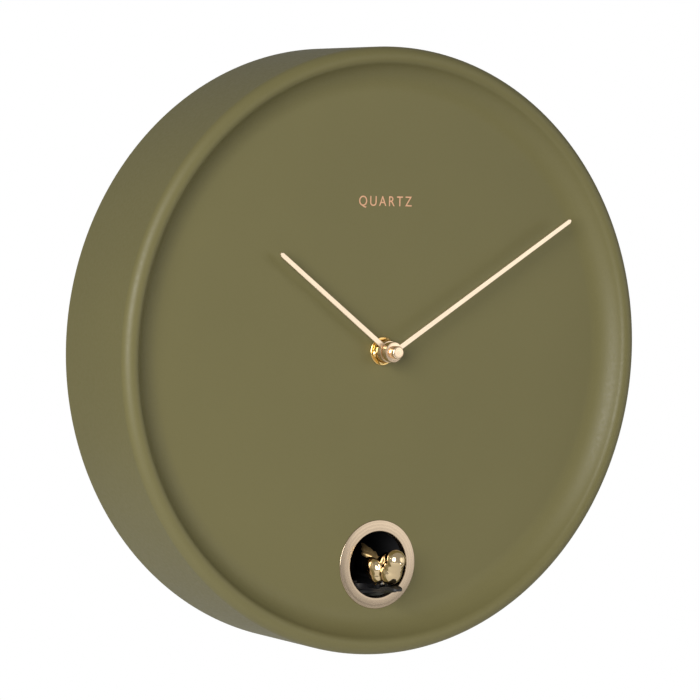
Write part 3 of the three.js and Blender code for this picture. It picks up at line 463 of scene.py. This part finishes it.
def circuit_board():
    """Green solder mask with faint tracks under it."""
    material, tree, shader, place = blank_material("solder_mask")
    tracks = tree.nodes.new("ShaderNodeTexBrick")
    tracks.inputs["Scale"].default_value = 220
    tracks.inputs["Mortar Size"].default_value = 0.03
    tracks.inputs["Color1"].default_value = (0.010, 0.085, 0.030, 1)
    tracks.inputs["Color2"].default_value = (0.014, 0.105, 0.040, 1)
    tracks.inputs["Mortar"].default_value = (0.03, 0.17, 0.07, 1)
    swap = tree.nodes.new("ShaderNodeMapping")
    swap.inputs["Rotation"].default_value = (math.pi / 2, 0, 0)
    tree.links.new(place, swap.inputs["Vector"])
    tree.links.new(swap.outputs["Vector"], tracks.inputs["Vector"])
    tree.links.new(tracks.outputs["Color"], shader.inputs["Base Color"])
    haze = noise(tree, place, 300, 2)
    gloss(tree, shader, haze, 0.25, 0.4)
    bump(tree, shader, tracks.outputs["Fac"], 0.03 * MM)
    return material


def cell_wrapper():
    """Printed sleeve: blue body with a silver band at each end, and no lettering."""
    band_start = 16.5 * MM
    band_full = 16.8 * MM
    material, tree, shader, place = blank_material("cell_sleeve")
    split = tree.nodes.new("ShaderNodeSeparateXYZ")
    tree.links.new(place, split.inputs["Vector"])
    from_middle = tree.nodes.new("ShaderNodeMath")
    from_middle.operation = "ABSOLUTE"
    tree.links.new(split.outputs["Z"], from_middle.inputs[0])
    band = ranged(tree, from_middle.outputs["Value"], 0, 1, band_start, band_full)
    tree.links.new(two_colours(tree, band, (0.02, 0.07, 0.2), (0.6, 0.6, 0.6)), shader.inputs["Base Color"])
    haze = noise(tree, place, 400, 2)
    gloss(tree, shader, haze, 0.24, 0.36)
    bump(tree, shader, haze, 0.01 * MM)
    return material


olive = powder_coat()
ring_metal = turned_metal("champagne_ring", (0.55, 0.43, 0.305), 0.22, (0, WINDOW_Z), 1.571, relief=0.002)
collar_metal = turned_metal("champagne_collar", (0.95, 0.72, 0.50), 0.24, (0, 0), spacing=1.257)
hour_metal = brushed_metal("champagne_hour", CHAMPAGNE, 0.3, HOUR_ANGLE)
minute_metal = brushed_metal("champagne_minute", CHAMPAGNE, 0.3, MINUTE_ANGLE)
hub_metal = turned_metal("hub_brass", (0.90, 0.62, 0.24), 0.22, (0, 0), spacing=1.257, relief=0.0004)
bird_gold = surface("mirror_gold", (0.80, 0.62, 0.37), rough=0.1, metal=1, variation=0.03,
                    patch=120, grain=700, relief=0.0012, rough_spread=0.03)
tail_gold = surface("satin_gold", (0.98, 0.68, 0.32), rough=0.5, metal=1, variation=0.1,
                    patch=400, grain=900, relief=0.02, rough_spread=0.08)
zinc = surface("zinc_plate", (0.62, 0.63, 0.65), rough=0.34, metal=1, variation=0.07,
               patch=180, grain=1200, relief=0.006, rough_spread=0.07)
motor_zinc = surface("nickel_can", (0.66, 0.65, 0.62), rough=0.26, metal=1, variation=0.05,
                     patch=120, grain=1500, relief=0.004, rough_spread=0.05)
black_abs = moulded_plastic("black_abs", (0.014, 0.014, 0.015))
smooth_black = moulded_plastic("smooth_black_abs", (0.011, 0.011, 0.012), 0.36, grain=2200, relief=0.008)
grey_abs = moulded_plastic("grey_abs", (0.25, 0.25, 0.26), rough=0.45)
acetal = surface("natural_acetal", (0.74, 0.72, 0.65), rough=0.42, metal=0, variation=0.04,
                 patch=90, grain=1400, relief=0.006, rough_spread=0.05)
rubber = surface("black_rubber", (0.02, 0.02, 0.02), rough=0.78, metal=0, variation=0.15,
                 patch=150, grain=1800, relief=0.02, rough_spread=0.08, specular=0.3)
pulp = surface("paper_pulp", (0.035, 0.033, 0.03), rough=0.85, metal=0, variation=0.2,
               patch=200, grain=1100, relief=0.06, rough_spread=0.08, specular=0.2)
board = circuit_board()
copper = coil_wire()
sleeve = cell_wrapper()
foil = surface("copper_foil", (0.72, 0.40, 0.24), rough=0.34, metal=0.85, variation=0.05,
               patch=300, grain=1500, relief=0.004, rough_spread=0.06)


# ---- case ---------------------------------------------------------------------------------------

def sheet_face(inset, steps):
    """One face of the pressed sheet, from the back edge over the rim and down the dish to the dial's flat."""
    steepest = 90 + math.degrees(DISH_ANGLE)
    crest = CASE_RADIUS - OUTER_ROUNDING
    dish_top = crest - INNER_ROUNDING * math.sin(DISH_ANGLE)
    dish_drop = DIAL_RECESS - INNER_ROUNDING * (1 - math.cos(DISH_ANGLE))
    dish_radius = dish_drop / (1 - math.cos(DISH_ANGLE))
    dial_edge = dish_top - dish_radius * math.sin(DISH_ANGLE)
    hem = 0.4 * MM
    margin = 0.5 * MM
    wall = CASE_RADIUS - inset
    points = [(CASE_RADIUS - max(inset, hem), 0), (wall, -hem), (wall, -2 * hem)]
    points += arc(crest, -(CASE_DEPTH - OUTER_ROUNDING), OUTER_ROUNDING - inset, 0, 90, 2 * steps)
    points += arc(crest, -(CASE_DEPTH - INNER_ROUNDING), INNER_ROUNDING - inset, 90, steepest, steps)[1:]
    points += arc(dial_edge, DIAL_Y - dish_radius, dish_radius + inset, steepest - 180, -90, 2 * steps)
    points.append((dial_edge - margin, DIAL_Y + inset))
    return points


def filled_plate(work, loops, y):
    """A flat face across the Y axis, bounded by circles given as (radius, centre z, segments)."""
    edges = []
    for radius, centre_z, segments in loops:
        ring = []
        for step in range(segments):
            angle = 2 * math.pi * step / segments
            ring.append(work.verts.new((radius * math.cos(angle), y, centre_z + radius * math.sin(angle))))
        for step in range(segments):
            edges.append(work.edges.new((ring[step], ring[(step + 1) % segments])))
    bmesh.ops.triangle_fill(work, use_beauty=True, edges=edges)


def case_body():
    """The pressed case: rim and dish turned, the dial filled in between its edge and its two holes."""
    front = sheet_face(0, 10)
    back = sheet_face(SHEET, 6)
    vertices, faces = lathe_mesh(list(reversed(back)) + front, CASE_SEGMENTS, closed=False)
    mesh = bpy.data.meshes.new("case_body")
    mesh.from_pydata(vertices, [], faces)
    work = bmesh.new()
    work.from_mesh(mesh)
    holes = [(HUB_HOLE, 0, HOLE_SEGMENTS), (WINDOW_HOLE, WINDOW_Z, HOLE_SEGMENTS)]
    for edge, y in (front[-1], back[-1]):
        filled_plate(work, [(edge, 0, CASE_SEGMENTS)] + holes, y)
    for radius, centre_z, segments in holes:
        wall = [(radius, front[-1][1]), (radius, back[-1][1])]
        wall_vertices, wall_faces = lathe_mesh(wall, segments, (0, centre_z), closed=False)
        made = [work.verts.new(spot) for spot in wall_vertices]
        for face in wall_faces:
            work.faces.new([made[corner] for corner in face])
    work.to_mesh(mesh)
    work.free()
    install(dressed("case_body", mesh, olive, 40), "case", "case_shell")


def dial_word():
    """A generic word in thin copper-coloured foil, above the hub. A capital is 0.69 of the font's size."""
    capital = 0.69
    curve = bpy.data.curves.new("dial_word", "FONT")
    curve.body = "QUARTZ"
    curve.extrude = FOIL / 2
    curve.space_character = 1.35
    text = loose("dial_word_curve", curve)
    graph = bpy.context.evaluated_depsgraph_get()
    graph.update()
    mesh = bpy.data.meshes.new_from_object(text.evaluated_get(graph))
    bpy.data.objects.remove(text)
    left = min(vertex.co.x for vertex in mesh.vertices)
    right = max(vertex.co.x for vertex in mesh.vertices)
    wide = WORD_WIDTH / (right - left)
    tall = WORD_HEIGHT / capital
    for vertex in mesh.vertices:
        x, y, z = vertex.co
        across = (x - (left + right) / 2) * wide
        vertex.co = (across, DIAL_Y - FOIL / 2 - z, WORD_Z + (y - capital / 2) * tall)
    mesh.materials.clear()
    install(dressed("dial_word", mesh, foil), "case")


def window_ring():
    """Ring with a turned face that leans outwards, rounded edges and a collar through the dial."""
    face = RING_LOW.y
    back = RING_HIGH.y
    gap = 0.05 * MM
    foot = DIAL_Y - gap
    edge = 0.32 * MM
    crown = 0.6 * MM
    profile = [(RING_INNER, back), (RING_COLLAR, back), (RING_COLLAR, foot), (RING_OUTER, foot)]
    profile += arc(RING_OUTER - edge, face + crown + edge, edge, 0, 90, 6)
    profile += arc(RING_INNER + edge, face + edge, edge, 90, 180, 6)
    piece = lathe("window_ring_fine", profile, ring_metal, RING_SEGMENTS, (0, WINDOW_Z), 20)
    install(piece, "case", "window_ring")


# ---- hands and hub ------------------------------------------------------------------------------

def hand(node, body, angle, length, collar, bore, material):
    """A stick hand: a blade with rounded edges that starts inside its turned collar."""
    blade = hand_blade(node, angle, length, 0.8 * bore, material)
    install(blade, body, node)
    install(hand_collar(node, collar, bore), body)


def hand_blade(node, angle, length, start, material):
    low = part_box(node)[0]
    half = 1.35 * MM
    tip_half = 1.2 * MM
    end_half = 0.4 * MM
    point = 1.2 * MM
    thick = 1.0 * MM
    front = low.y + 0.15 * MM
    outline = [(-half, start), (half, start), (tip_half, length - point), (end_half, length),
               (-end_half, length), (-tip_half, length - point)]
    vertices = []
    for y in (front, front + thick):
        for across, along in outline:
            x = across * math.cos(angle) + along * math.sin(angle)
            z = -across * math.sin(angle) + along * math.cos(angle)
            vertices.append((x, y, z))
    count = len(outline)
    faces = [list(range(count)), list(range(2 * count - 1, count - 1, -1))]
    for corner in range(count):
        after = (corner + 1) % count
        faces.append([corner, corner + count, after + count, after])
    return bevelled(mesh_piece(node + "_fine_blade", vertices, faces, material), 0.22 * MM)


def hand_collar(node, radius, bore):
    low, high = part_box(node)
    rim = 0.35 * MM
    ease = 0.1 * MM
    lead_in = 0.3 * MM
    profile = [
        (bore, high.y), (radius - rim, high.y), (radius, high.y - rim), (radius, low.y + rim),
        (radius - ease, low.y + ease), (radius - rim, low.y), (bore + lead_in, low.y),
        (bore, low.y + lead_in),
    ]
    return lathe(node + "_fine_collar", profile, collar_metal, sharp_degrees=25)


def hand_cap():
    """The domed nut that ends the arbor."""
    low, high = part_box("hand_cap")
    radius = (high.x - low.x) / 2
    rounding = 0.9 * MM
    chamfer = 0.2 * MM
    bore = 1.4 * MM
    cap = 1.6 * MM
    profile = [(bore, high.y), (radius - chamfer, high.y), (radius, high.y - chamfer)]
    profile += arc(radius - rounding, low.y + rounding, rounding, 0, 90, 8)
    profile += [(0, low.y), (0, low.y + cap), (bore, low.y + cap)]
    piece = lathe("hand_cap_fine", profile, collar_metal, 64, sharp_degrees=25)
    install(piece, "minute_works", "hand_cap")


def hub_nut():
    """Hexagon nut with its corners turned off on the front face."""
    low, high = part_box("hub_nut")
    corner = NUT_FLAT / math.cos(math.pi / 6)
    chamfer = 0.55 * MM
    lead_in = 0.3 * MM
    levels = [(high.y, corner), (low.y + chamfer, corner), (low.y, 0.985 * NUT_FLAT),
              (low.y + lead_in, HUB_BORE), (high.y, HUB_BORE)]
    steps = 6 * 24
    vertices, faces = [], []
    for level, (y, limit) in enumerate(levels):
        start = level * steps
        following = (level + 1) % len(levels) * steps
        for step in range(steps):
            turn = 2 * math.pi * step / steps
            from_flat = turn % (math.pi / 3) - math.pi / 6
            radius = min(NUT_FLAT / math.cos(from_flat), limit)
            angle = NUT_TURN + turn
            vertices.append((radius * math.cos(angle), y, radius * math.sin(angle)))
            after = (step + 1) % steps
            faces.append([start + step, start + after, following + after, following + step])
    piece = mesh_piece("hub_nut_fine", vertices, faces, hub_metal, 18)
    install(piece, "case", "hub_nut")


def hub_bushing():
    """Threaded bush: a flange at the back, then turned thread crests to the front end."""
    low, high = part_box("hub_bushing")
    flange = 1.2 * MM
    chamfer = 0.2 * MM
    depth = 0.22 * MM
    y = high.y - flange
    profile = [(BUSH_INNER, high.y), (BUSH_FLANGE, high.y), (BUSH_FLANGE, y), (BUSH_OUTER, y)]
    while y - THREAD_PITCH > low.y + chamfer:
        for share, cut in ((0.15, 0), (0.5, depth), (0.85, 0)):
            profile.append((BUSH_OUTER - cut, y - share * THREAD_PITCH))
        y -= THREAD_PITCH
    profile += [(BUSH_OUTER, low.y + chamfer), (BUSH_OUTER - chamfer, low.y), (BUSH_INNER, low.y)]
    piece = lathe("hub_bushing_fine", profile, hub_metal, 72, sharp_degrees=25)
    install(piece, "case", "hub_bushing")


def hub_washer():
    low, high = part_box("hub_washer")
    radius = (high.x - low.x) / 2
    edge = 0.2 * MM
    profile = [(HUB_BORE, high.y), (radius - edge, high.y), (radius, high.y - edge), (radius, low.y + edge),
               (radius - edge, low.y), (HUB_BORE, low.y)]
    piece = lathe("hub_washer_fine", profile, hub_metal, sharp_degrees=25)
    install(piece, "case", "hub_washer")


# ---- bird ---------------------------------------------------------------------------------------

def egg(centre, size, tilt=0.0, turn=0.0, name="egg"):
    """A loose ellipsoid, in millimetres and degrees: tilt about X, then turn about Z."""
    work = bmesh.new()
    bmesh.ops.create_uvsphere(work, u_segments=32, v_segments=20, radius=1)
    mesh = written(name, work)
    rotation = Matrix.Rotation(math.radians(turn), 4, "Z") @ Matrix.Rotation(math.radians(tilt), 4, "X")
    scale = Matrix.Diagonal((size[0] * MM, size[1] * MM, size[2] * MM, 1))
    mesh.transform(Matrix.Translation(Vector(centre) * MM) @ rotation @ scale)
    return loose(name, mesh)


def tapered(points):
    """A loose round limb through points of (x, y, z, radius), in millimetres."""
    sides = 20
    vertices, faces = [], []
    for index, (x, y, z, radius) in enumerate(points):
        ahead = Vector(points[min(index + 1, len(points) - 1)][:3])
        behind = Vector(points[max(index - 1, 0)][:3])
        along = (ahead - behind).normalized()
        across = along.cross(Vector((0, 0, 1))).normalized()
        up = across.cross(along)
        for side in range(sides):
            angle = 2 * math.pi * side / sides
            spot = Vector((x, y, z)) + radius * (math.cos(angle) * across + math.sin(angle) * up)
            vertices.append(tuple(spot * MM))
    for index in range(len(points) - 1):
        base = index * sides
        for side in range(sides):
            after = (side + 1) % sides
            faces.append([base + side, base + after, base + sides + after, base + sides + side])
    faces.append(list(range(sides)))
    faces.append(list(range(len(vertices) - 1, len(vertices) - sides - 1, -1)))
    mesh = bpy.data.meshes.new("limb")
    mesh.from_pydata(vertices, [], faces)
    return loose("limb", mesh)


def bird_limbs():
    """The bird as overlapping rounded parts, each egg by its centre, half sizes and tilt."""
    back = egg((0, -55, -108.4), (6.0, 9.2, 5.9), 6)
    breast = egg((0, -61.8, -108.3), (5.7, 6.5, 6.5))
    throat = egg((0, -64.0, -105.2), (5.2, 5.7, 5.2))
    nape = egg((0, -59.8, -104.0), (5.5, 8.0, 5.2), -20)
    head = egg((0, -66.3, -102.2), (5.1, 5.2, 5.2))
    beak = tapered([(0, -69.6, -103.0, 2.2), (0, -70.9, -103.4, 1.25), (0, -71.9, -103.7, 0.6),
                    (0, -72.4, -103.9, 0.2)])
    limbs = [back, breast, throat, nape, head, beak]
    for side in (-1, 1):
        wing = egg((side * 5.9, PIVOT_Y, -106.7), (3.1, 7.0, 5.1), 10, side * -4)
        thigh = egg((side * 4.2, -56.0, -110.8), (3.5, 4.8, 3.6))
        foot = egg((side * 2.5, PIVOT_Y, -114.2), (1.5, 2.6, 3.2))
        limbs += [wing, thigh, foot]
    return limbs


def tail_feathers():
    """Five feathers on a short stalk: the middle one highest and longest, the outer ones drooping."""
    root_y, root_z = -48.5, -103.2
    stalk = tapered([(0, -52, -105.6, 2.4), (0, root_y, root_z, 1.7), (0, -46, -101.8, 1.2)])
    thicknesses = ((0, 0.8), (0.3, 1.1), (0.6, 1.3), (0.85, 1.1), (0.96, 0.6), (1, 0.25))
    feathers = [stalk]
    for rank in (-2, -1, 0, 1, 2):
        tip_x = 1.9 * rank
        tip_y = -35 - 3.1 * abs(rank)
        tip_z = -96.9 - 2.1 * abs(rank)
        points = []
        for share, radius in thicknesses:
            y = root_y + share * (tip_y - root_y)
            z = root_z + share * (tip_z - root_z)
            points.append((share * tip_x, y, z, radius))
        feathers.append(tapered(points))
    return feathers


def skin(piece, size, rounds):
    """Melts overlapping parts into one smooth surface, in voxels of a size and rounds of smoothing."""
    remesh = piece.modifiers.new("skin", "REMESH")
    remesh.mode = "VOXEL"
    remesh.voxel_size = size
    smooth = piece.modifiers.new("melt", "SMOOTH")
    smooth.factor = 0.5
    smooth.iterations = rounds
    apply_modifiers(piece)


def feather_grooves(piece):
    """Presses shallow slanting lines into the folded wings, fading in from the flanks and the shoulders."""
    groove = 0.12 * MM
    radians_per_mm = 2.7
    slope_y, slope_z = 0.85, -0.55
    middle_y, middle_z = -60, -109
    flank, flank_fade = 6.4, 1.2
    shoulder, shoulder_fade = -58, 5
    for vertex in piece.data.vertices:
        x, y, z = (value / MM for value in vertex.co)
        sideways = min(1, max(0, (abs(x) - flank) / flank_fade))
        backwards = min(1, max(0, (y - shoulder) / shoulder_fade))
        run = slope_y * (y - middle_y) + slope_z * (z - middle_z)
        line = 0.5 + 0.5 * math.sin(run * radians_per_mm)
        vertex.co -= vertex.normal * groove * sideways * backwards * line


def trim_under_perch(piece):
    """Keeps the belly and feet just clear of the perch's top."""
    top = PERCH_TOP * MM
    for vertex in piece.data.vertices:
        vertex.co.z = max(vertex.co.z, top)


def ear_pockets(piece):
    """Slots in the feet for the two ears of the carriage."""
    ear_x, ear_z = 2.55, -116.5
    slot = Matrix.Diagonal((2.2 * MM, 4.6 * MM, 6.6 * MM, 1))
    boxes = []
    for side in (-1, 1):
        work = bmesh.new()
        bmesh.ops.create_cube(work, size=1)
        mesh = written("pocket", work)
        mesh.transform(Matrix.Translation(Vector((side * ear_x, PIVOT_Y, ear_z)) * MM) @ slot)
        box = loose("pocket", mesh)
        boxes.append(box)
        cutter = piece.modifiers.new("pocket", "BOOLEAN")
        cutter.object = box
        cutter.solver = "EXACT"
    apply_modifiers(piece)
    for box in boxes:
        bpy.data.objects.remove(box)


def bird_eye(side, name):
    eye = egg((side * 4.05, -68.4, -101.0), (EYE_RADIUS, EYE_RADIUS, EYE_RADIUS), name=name)
    repaint(eye, bird_gold)
    eye.data.shade_smooth()
    install(eye, "bird")


def bird():
    """A small plump bird with its tail up, gold plated, with a satin tail."""
    body = joined("bird_fine", bird_limbs(), bird_gold)
    skin(body, 0.3 * MM, 30)
    feather_grooves(body)
    trim_under_perch(body)
    ear_pockets(body)
    tail = joined("bird_tail", tail_feathers(), tail_gold)
    skin(tail, 0.25 * MM, 2)
    for piece, gold in ((body, bird_gold), (tail, tail_gold)):
        repaint(piece, gold)
        piece.data.shade_smooth()
    bird_eye(-1, "bird_eye_left")
    bird_eye(1, "bird_eye_right")
    install(tail, "bird")
    install(body, "bird", "bird")


# ---- everything else ----------------------------------------------------------------------------

def carry_over(node, material):
    """Gives a CAD node that stays a finished material."""
    repaint(frame["nodes"][node], material)


def back_and_works():
    """The other CAD nodes: softened where they show, and carried over with a material where they don't."""
    softened("back_cover", black_abs, width=0.3 * MM)
    softened("battery_door", black_abs, width=0.2 * MM)
    softened("hanger_bracket", zinc, width=0.25 * MM)
    softened("set_knob", grey_abs, width=0.2 * MM)
    softened("switch_slider", grey_abs, width=0.15 * MM)
    softened("bird_carriage", smooth_black, width=0.18 * MM)
    for number in range(1, 5):
        softened(f"cover_screw_{number}", zinc, width=0.1 * MM)
        carry_over(f"case_post_{number}", zinc)
    kept = {
        zinc: ["minute_arbor", "stator", "bird_pivot_pin", "contact_strip_top", "contact_strip_bottom",
               "speaker_frame", "speaker_magnet"],
        motor_zinc: ["drive_motor"],
        black_abs: ["movement_base", "movement_cover", "drive_housing", "gear_cover", "battery_box",
                    "sound_chip", "switch_body"],
        acetal: ["center_wheel", "hour_wheel", "set_wheel", "set_stem", "third_wheel", "rotor",
                 "rack_pinion", "reduction_gear"],
        rubber: ["hub_gasket", "tunnel_gasket", "speaker_lead", "battery_lead", "motor_lead"],
        board: ["movement_board", "control_board"],
        sleeve: ["battery_1", "battery_2", "battery_3"],
        copper: ["coil"],
        pulp: ["speaker_cone"],
        hub_metal: ["motor_pinion"],
    }
    for material, nodes in kept.items():
        for node in nodes:
            carry_over(node, material)


# ---- light, floor and camera --------------------------------------------------------------------

def facing(azimuth, elevation):
    """The direction from the clock towards an azimuth (0 is straight in front) and an elevation."""
    level = math.cos(elevation)
    return Vector((math.sin(azimuth) * level, -math.cos(azimuth) * level, math.sin(elevation)))


def softbox(name, azimuth, elevation, distance, power):
    """A lamp aimed at the clock from an azimuth (0 is straight in front) and an elevation, in degrees."""
    away = facing(math.radians(azimuth), math.radians(elevation))
    light = bpy.data.lights.new(name, "AREA")
    light.shape = "RECTANGLE"
    light.size = SOFTBOX_WIDTH
    light.size_y = SOFTBOX_HEIGHT
    light.energy = power
    lamp = loose(name, light)
    lamp.location = distance * away
    lamp.rotation_euler = (-away).to_track_quat("-Z", "Y").to_euler()
    return lamp


def white_room():
    """White to the camera, dim on matt surfaces, and a bright card in a grey room to reflections."""
    world = bpy.data.worlds.new("white_room")
    world.use_nodes = True
    tree = world.node_tree
    background = tree.nodes["Background"]
    background.inputs["Color"].default_value = (1, 1, 1, 1)
    direction = tree.nodes.new("ShaderNodeTexCoord").outputs["Generated"]
    towards = tree.nodes.new("ShaderNodeVectorMath")
    towards.operation = "DOT_PRODUCT"
    towards.inputs[1].default_value = facing(CARD_AZIMUTH, CARD_ELEVATION)
    tree.links.new(direction, towards.inputs[0])
    reflected = ranged(tree, towards.outputs["Value"], ROOM_REFLECTED, CARD_GLOW,
                       math.cos(CARD_EDGE), math.cos(CARD_CORE))
    seen = tree.nodes.new("ShaderNodeLightPath")
    shiny = tree.nodes.new("ShaderNodeMath")
    shiny.operation = "MULTIPLY_ADD"
    shiny.inputs[2].default_value = ROOM_GLOW
    strength = tree.nodes.new("ShaderNodeMath")
    strength.operation = "MAXIMUM"
    tree.links.new(seen.outputs["Is Glossy Ray"], shiny.inputs[0])
    tree.links.new(reflected, shiny.inputs[1])
    tree.links.new(seen.outputs["Is Camera Ray"], strength.inputs[0])
    tree.links.new(shiny.outputs["Value"], strength.inputs[1])
    tree.links.new(strength.outputs["Value"], background.inputs["Strength"])
    return world


def studio():
    """The room, a large key lamp at the left and two weak lamps at the right."""
    scene = bpy.context.scene
    scene.view_settings.view_transform = "Standard"
    scene.world = white_room()
    softbox("key", azimuth=-50, elevation=11, distance=1.9, power=36.3)
    fill = softbox("right_fill", azimuth=35, elevation=12, distance=2.2, power=6.5)
    fill.visible_glossy = False
    softbox("side_fill", azimuth=70, elevation=0, distance=2.0, power=2)


def floor():
    """A pale round floor with a faint glow, which lightens the underside of the case."""
    profile = [(0, 0), (FLOOR_RADIUS, 0), (FLOOR_RADIUS, FLOOR_THICKNESS), (0, FLOOR_THICKNESS)]
    vertices, faces = lathe_mesh(profile, 96, closed=False)
    flat = [(x, z, FLOOR_Z - y) for x, y, z in vertices]
    pale = surface("pale_floor", (0.86, 0.86, 0.85), rough=0.7, metal=0, variation=0.01,
                   patch=5, grain=300, relief=0.02, rough_spread=0.05, specular=0.2)
    shader = pale.node_tree.nodes["Principled BSDF"]
    shader.inputs["Emission Color"].default_value = (1, 1, 1, 1)
    shader.inputs["Emission Strength"].default_value = FLOOR_GLOW
    mesh_piece("floor", flat, faces, pale)


def camera():
    """The camera, from the angle, roll and distance that frame the object as the photograph does."""
    back = facing(CAMERA_AZIMUTH, CAMERA_ELEVATION)
    level = Vector((math.cos(CAMERA_AZIMUTH), math.sin(CAMERA_AZIMUTH), 0))
    upright = back.cross(level)
    right = level * math.cos(CAMERA_ROLL) + upright * math.sin(CAMERA_ROLL)
    up = upright * math.cos(CAMERA_ROLL) - level * math.sin(CAMERA_ROLL)
    data = bpy.data.cameras.new("camera")
    data.lens = CAMERA_LENS
    data.sensor_width = 36
    data.shift_x, data.shift_y = CAMERA_SHIFT
    data.clip_start = 0.05
    place = CAMERA_TARGET + CAMERA_DISTANCE * back
    rotation = Matrix((right, up, back)).transposed().to_4x4()
    viewer = loose("camera", data)
    viewer.matrix_world = Matrix.Translation(place) @ rotation
    bpy.context.scene.camera = viewer


camera()
studio()
floor()
case_body()
dial_word()
window_ring()
hand("hour_hand", "hour_works", HOUR_ANGLE, HOUR_LENGTH, HOUR_COLLAR, HOUR_BORE, hour_metal)
hand("minute_hand", "minute_works", MINUTE_ANGLE, MINUTE_LENGTH, MINUTE_COLLAR, MINUTE_BORE, minute_metal)
hand_cap()
hub_bushing()
hub_washer()
hub_nut()
bird()
back_and_works()
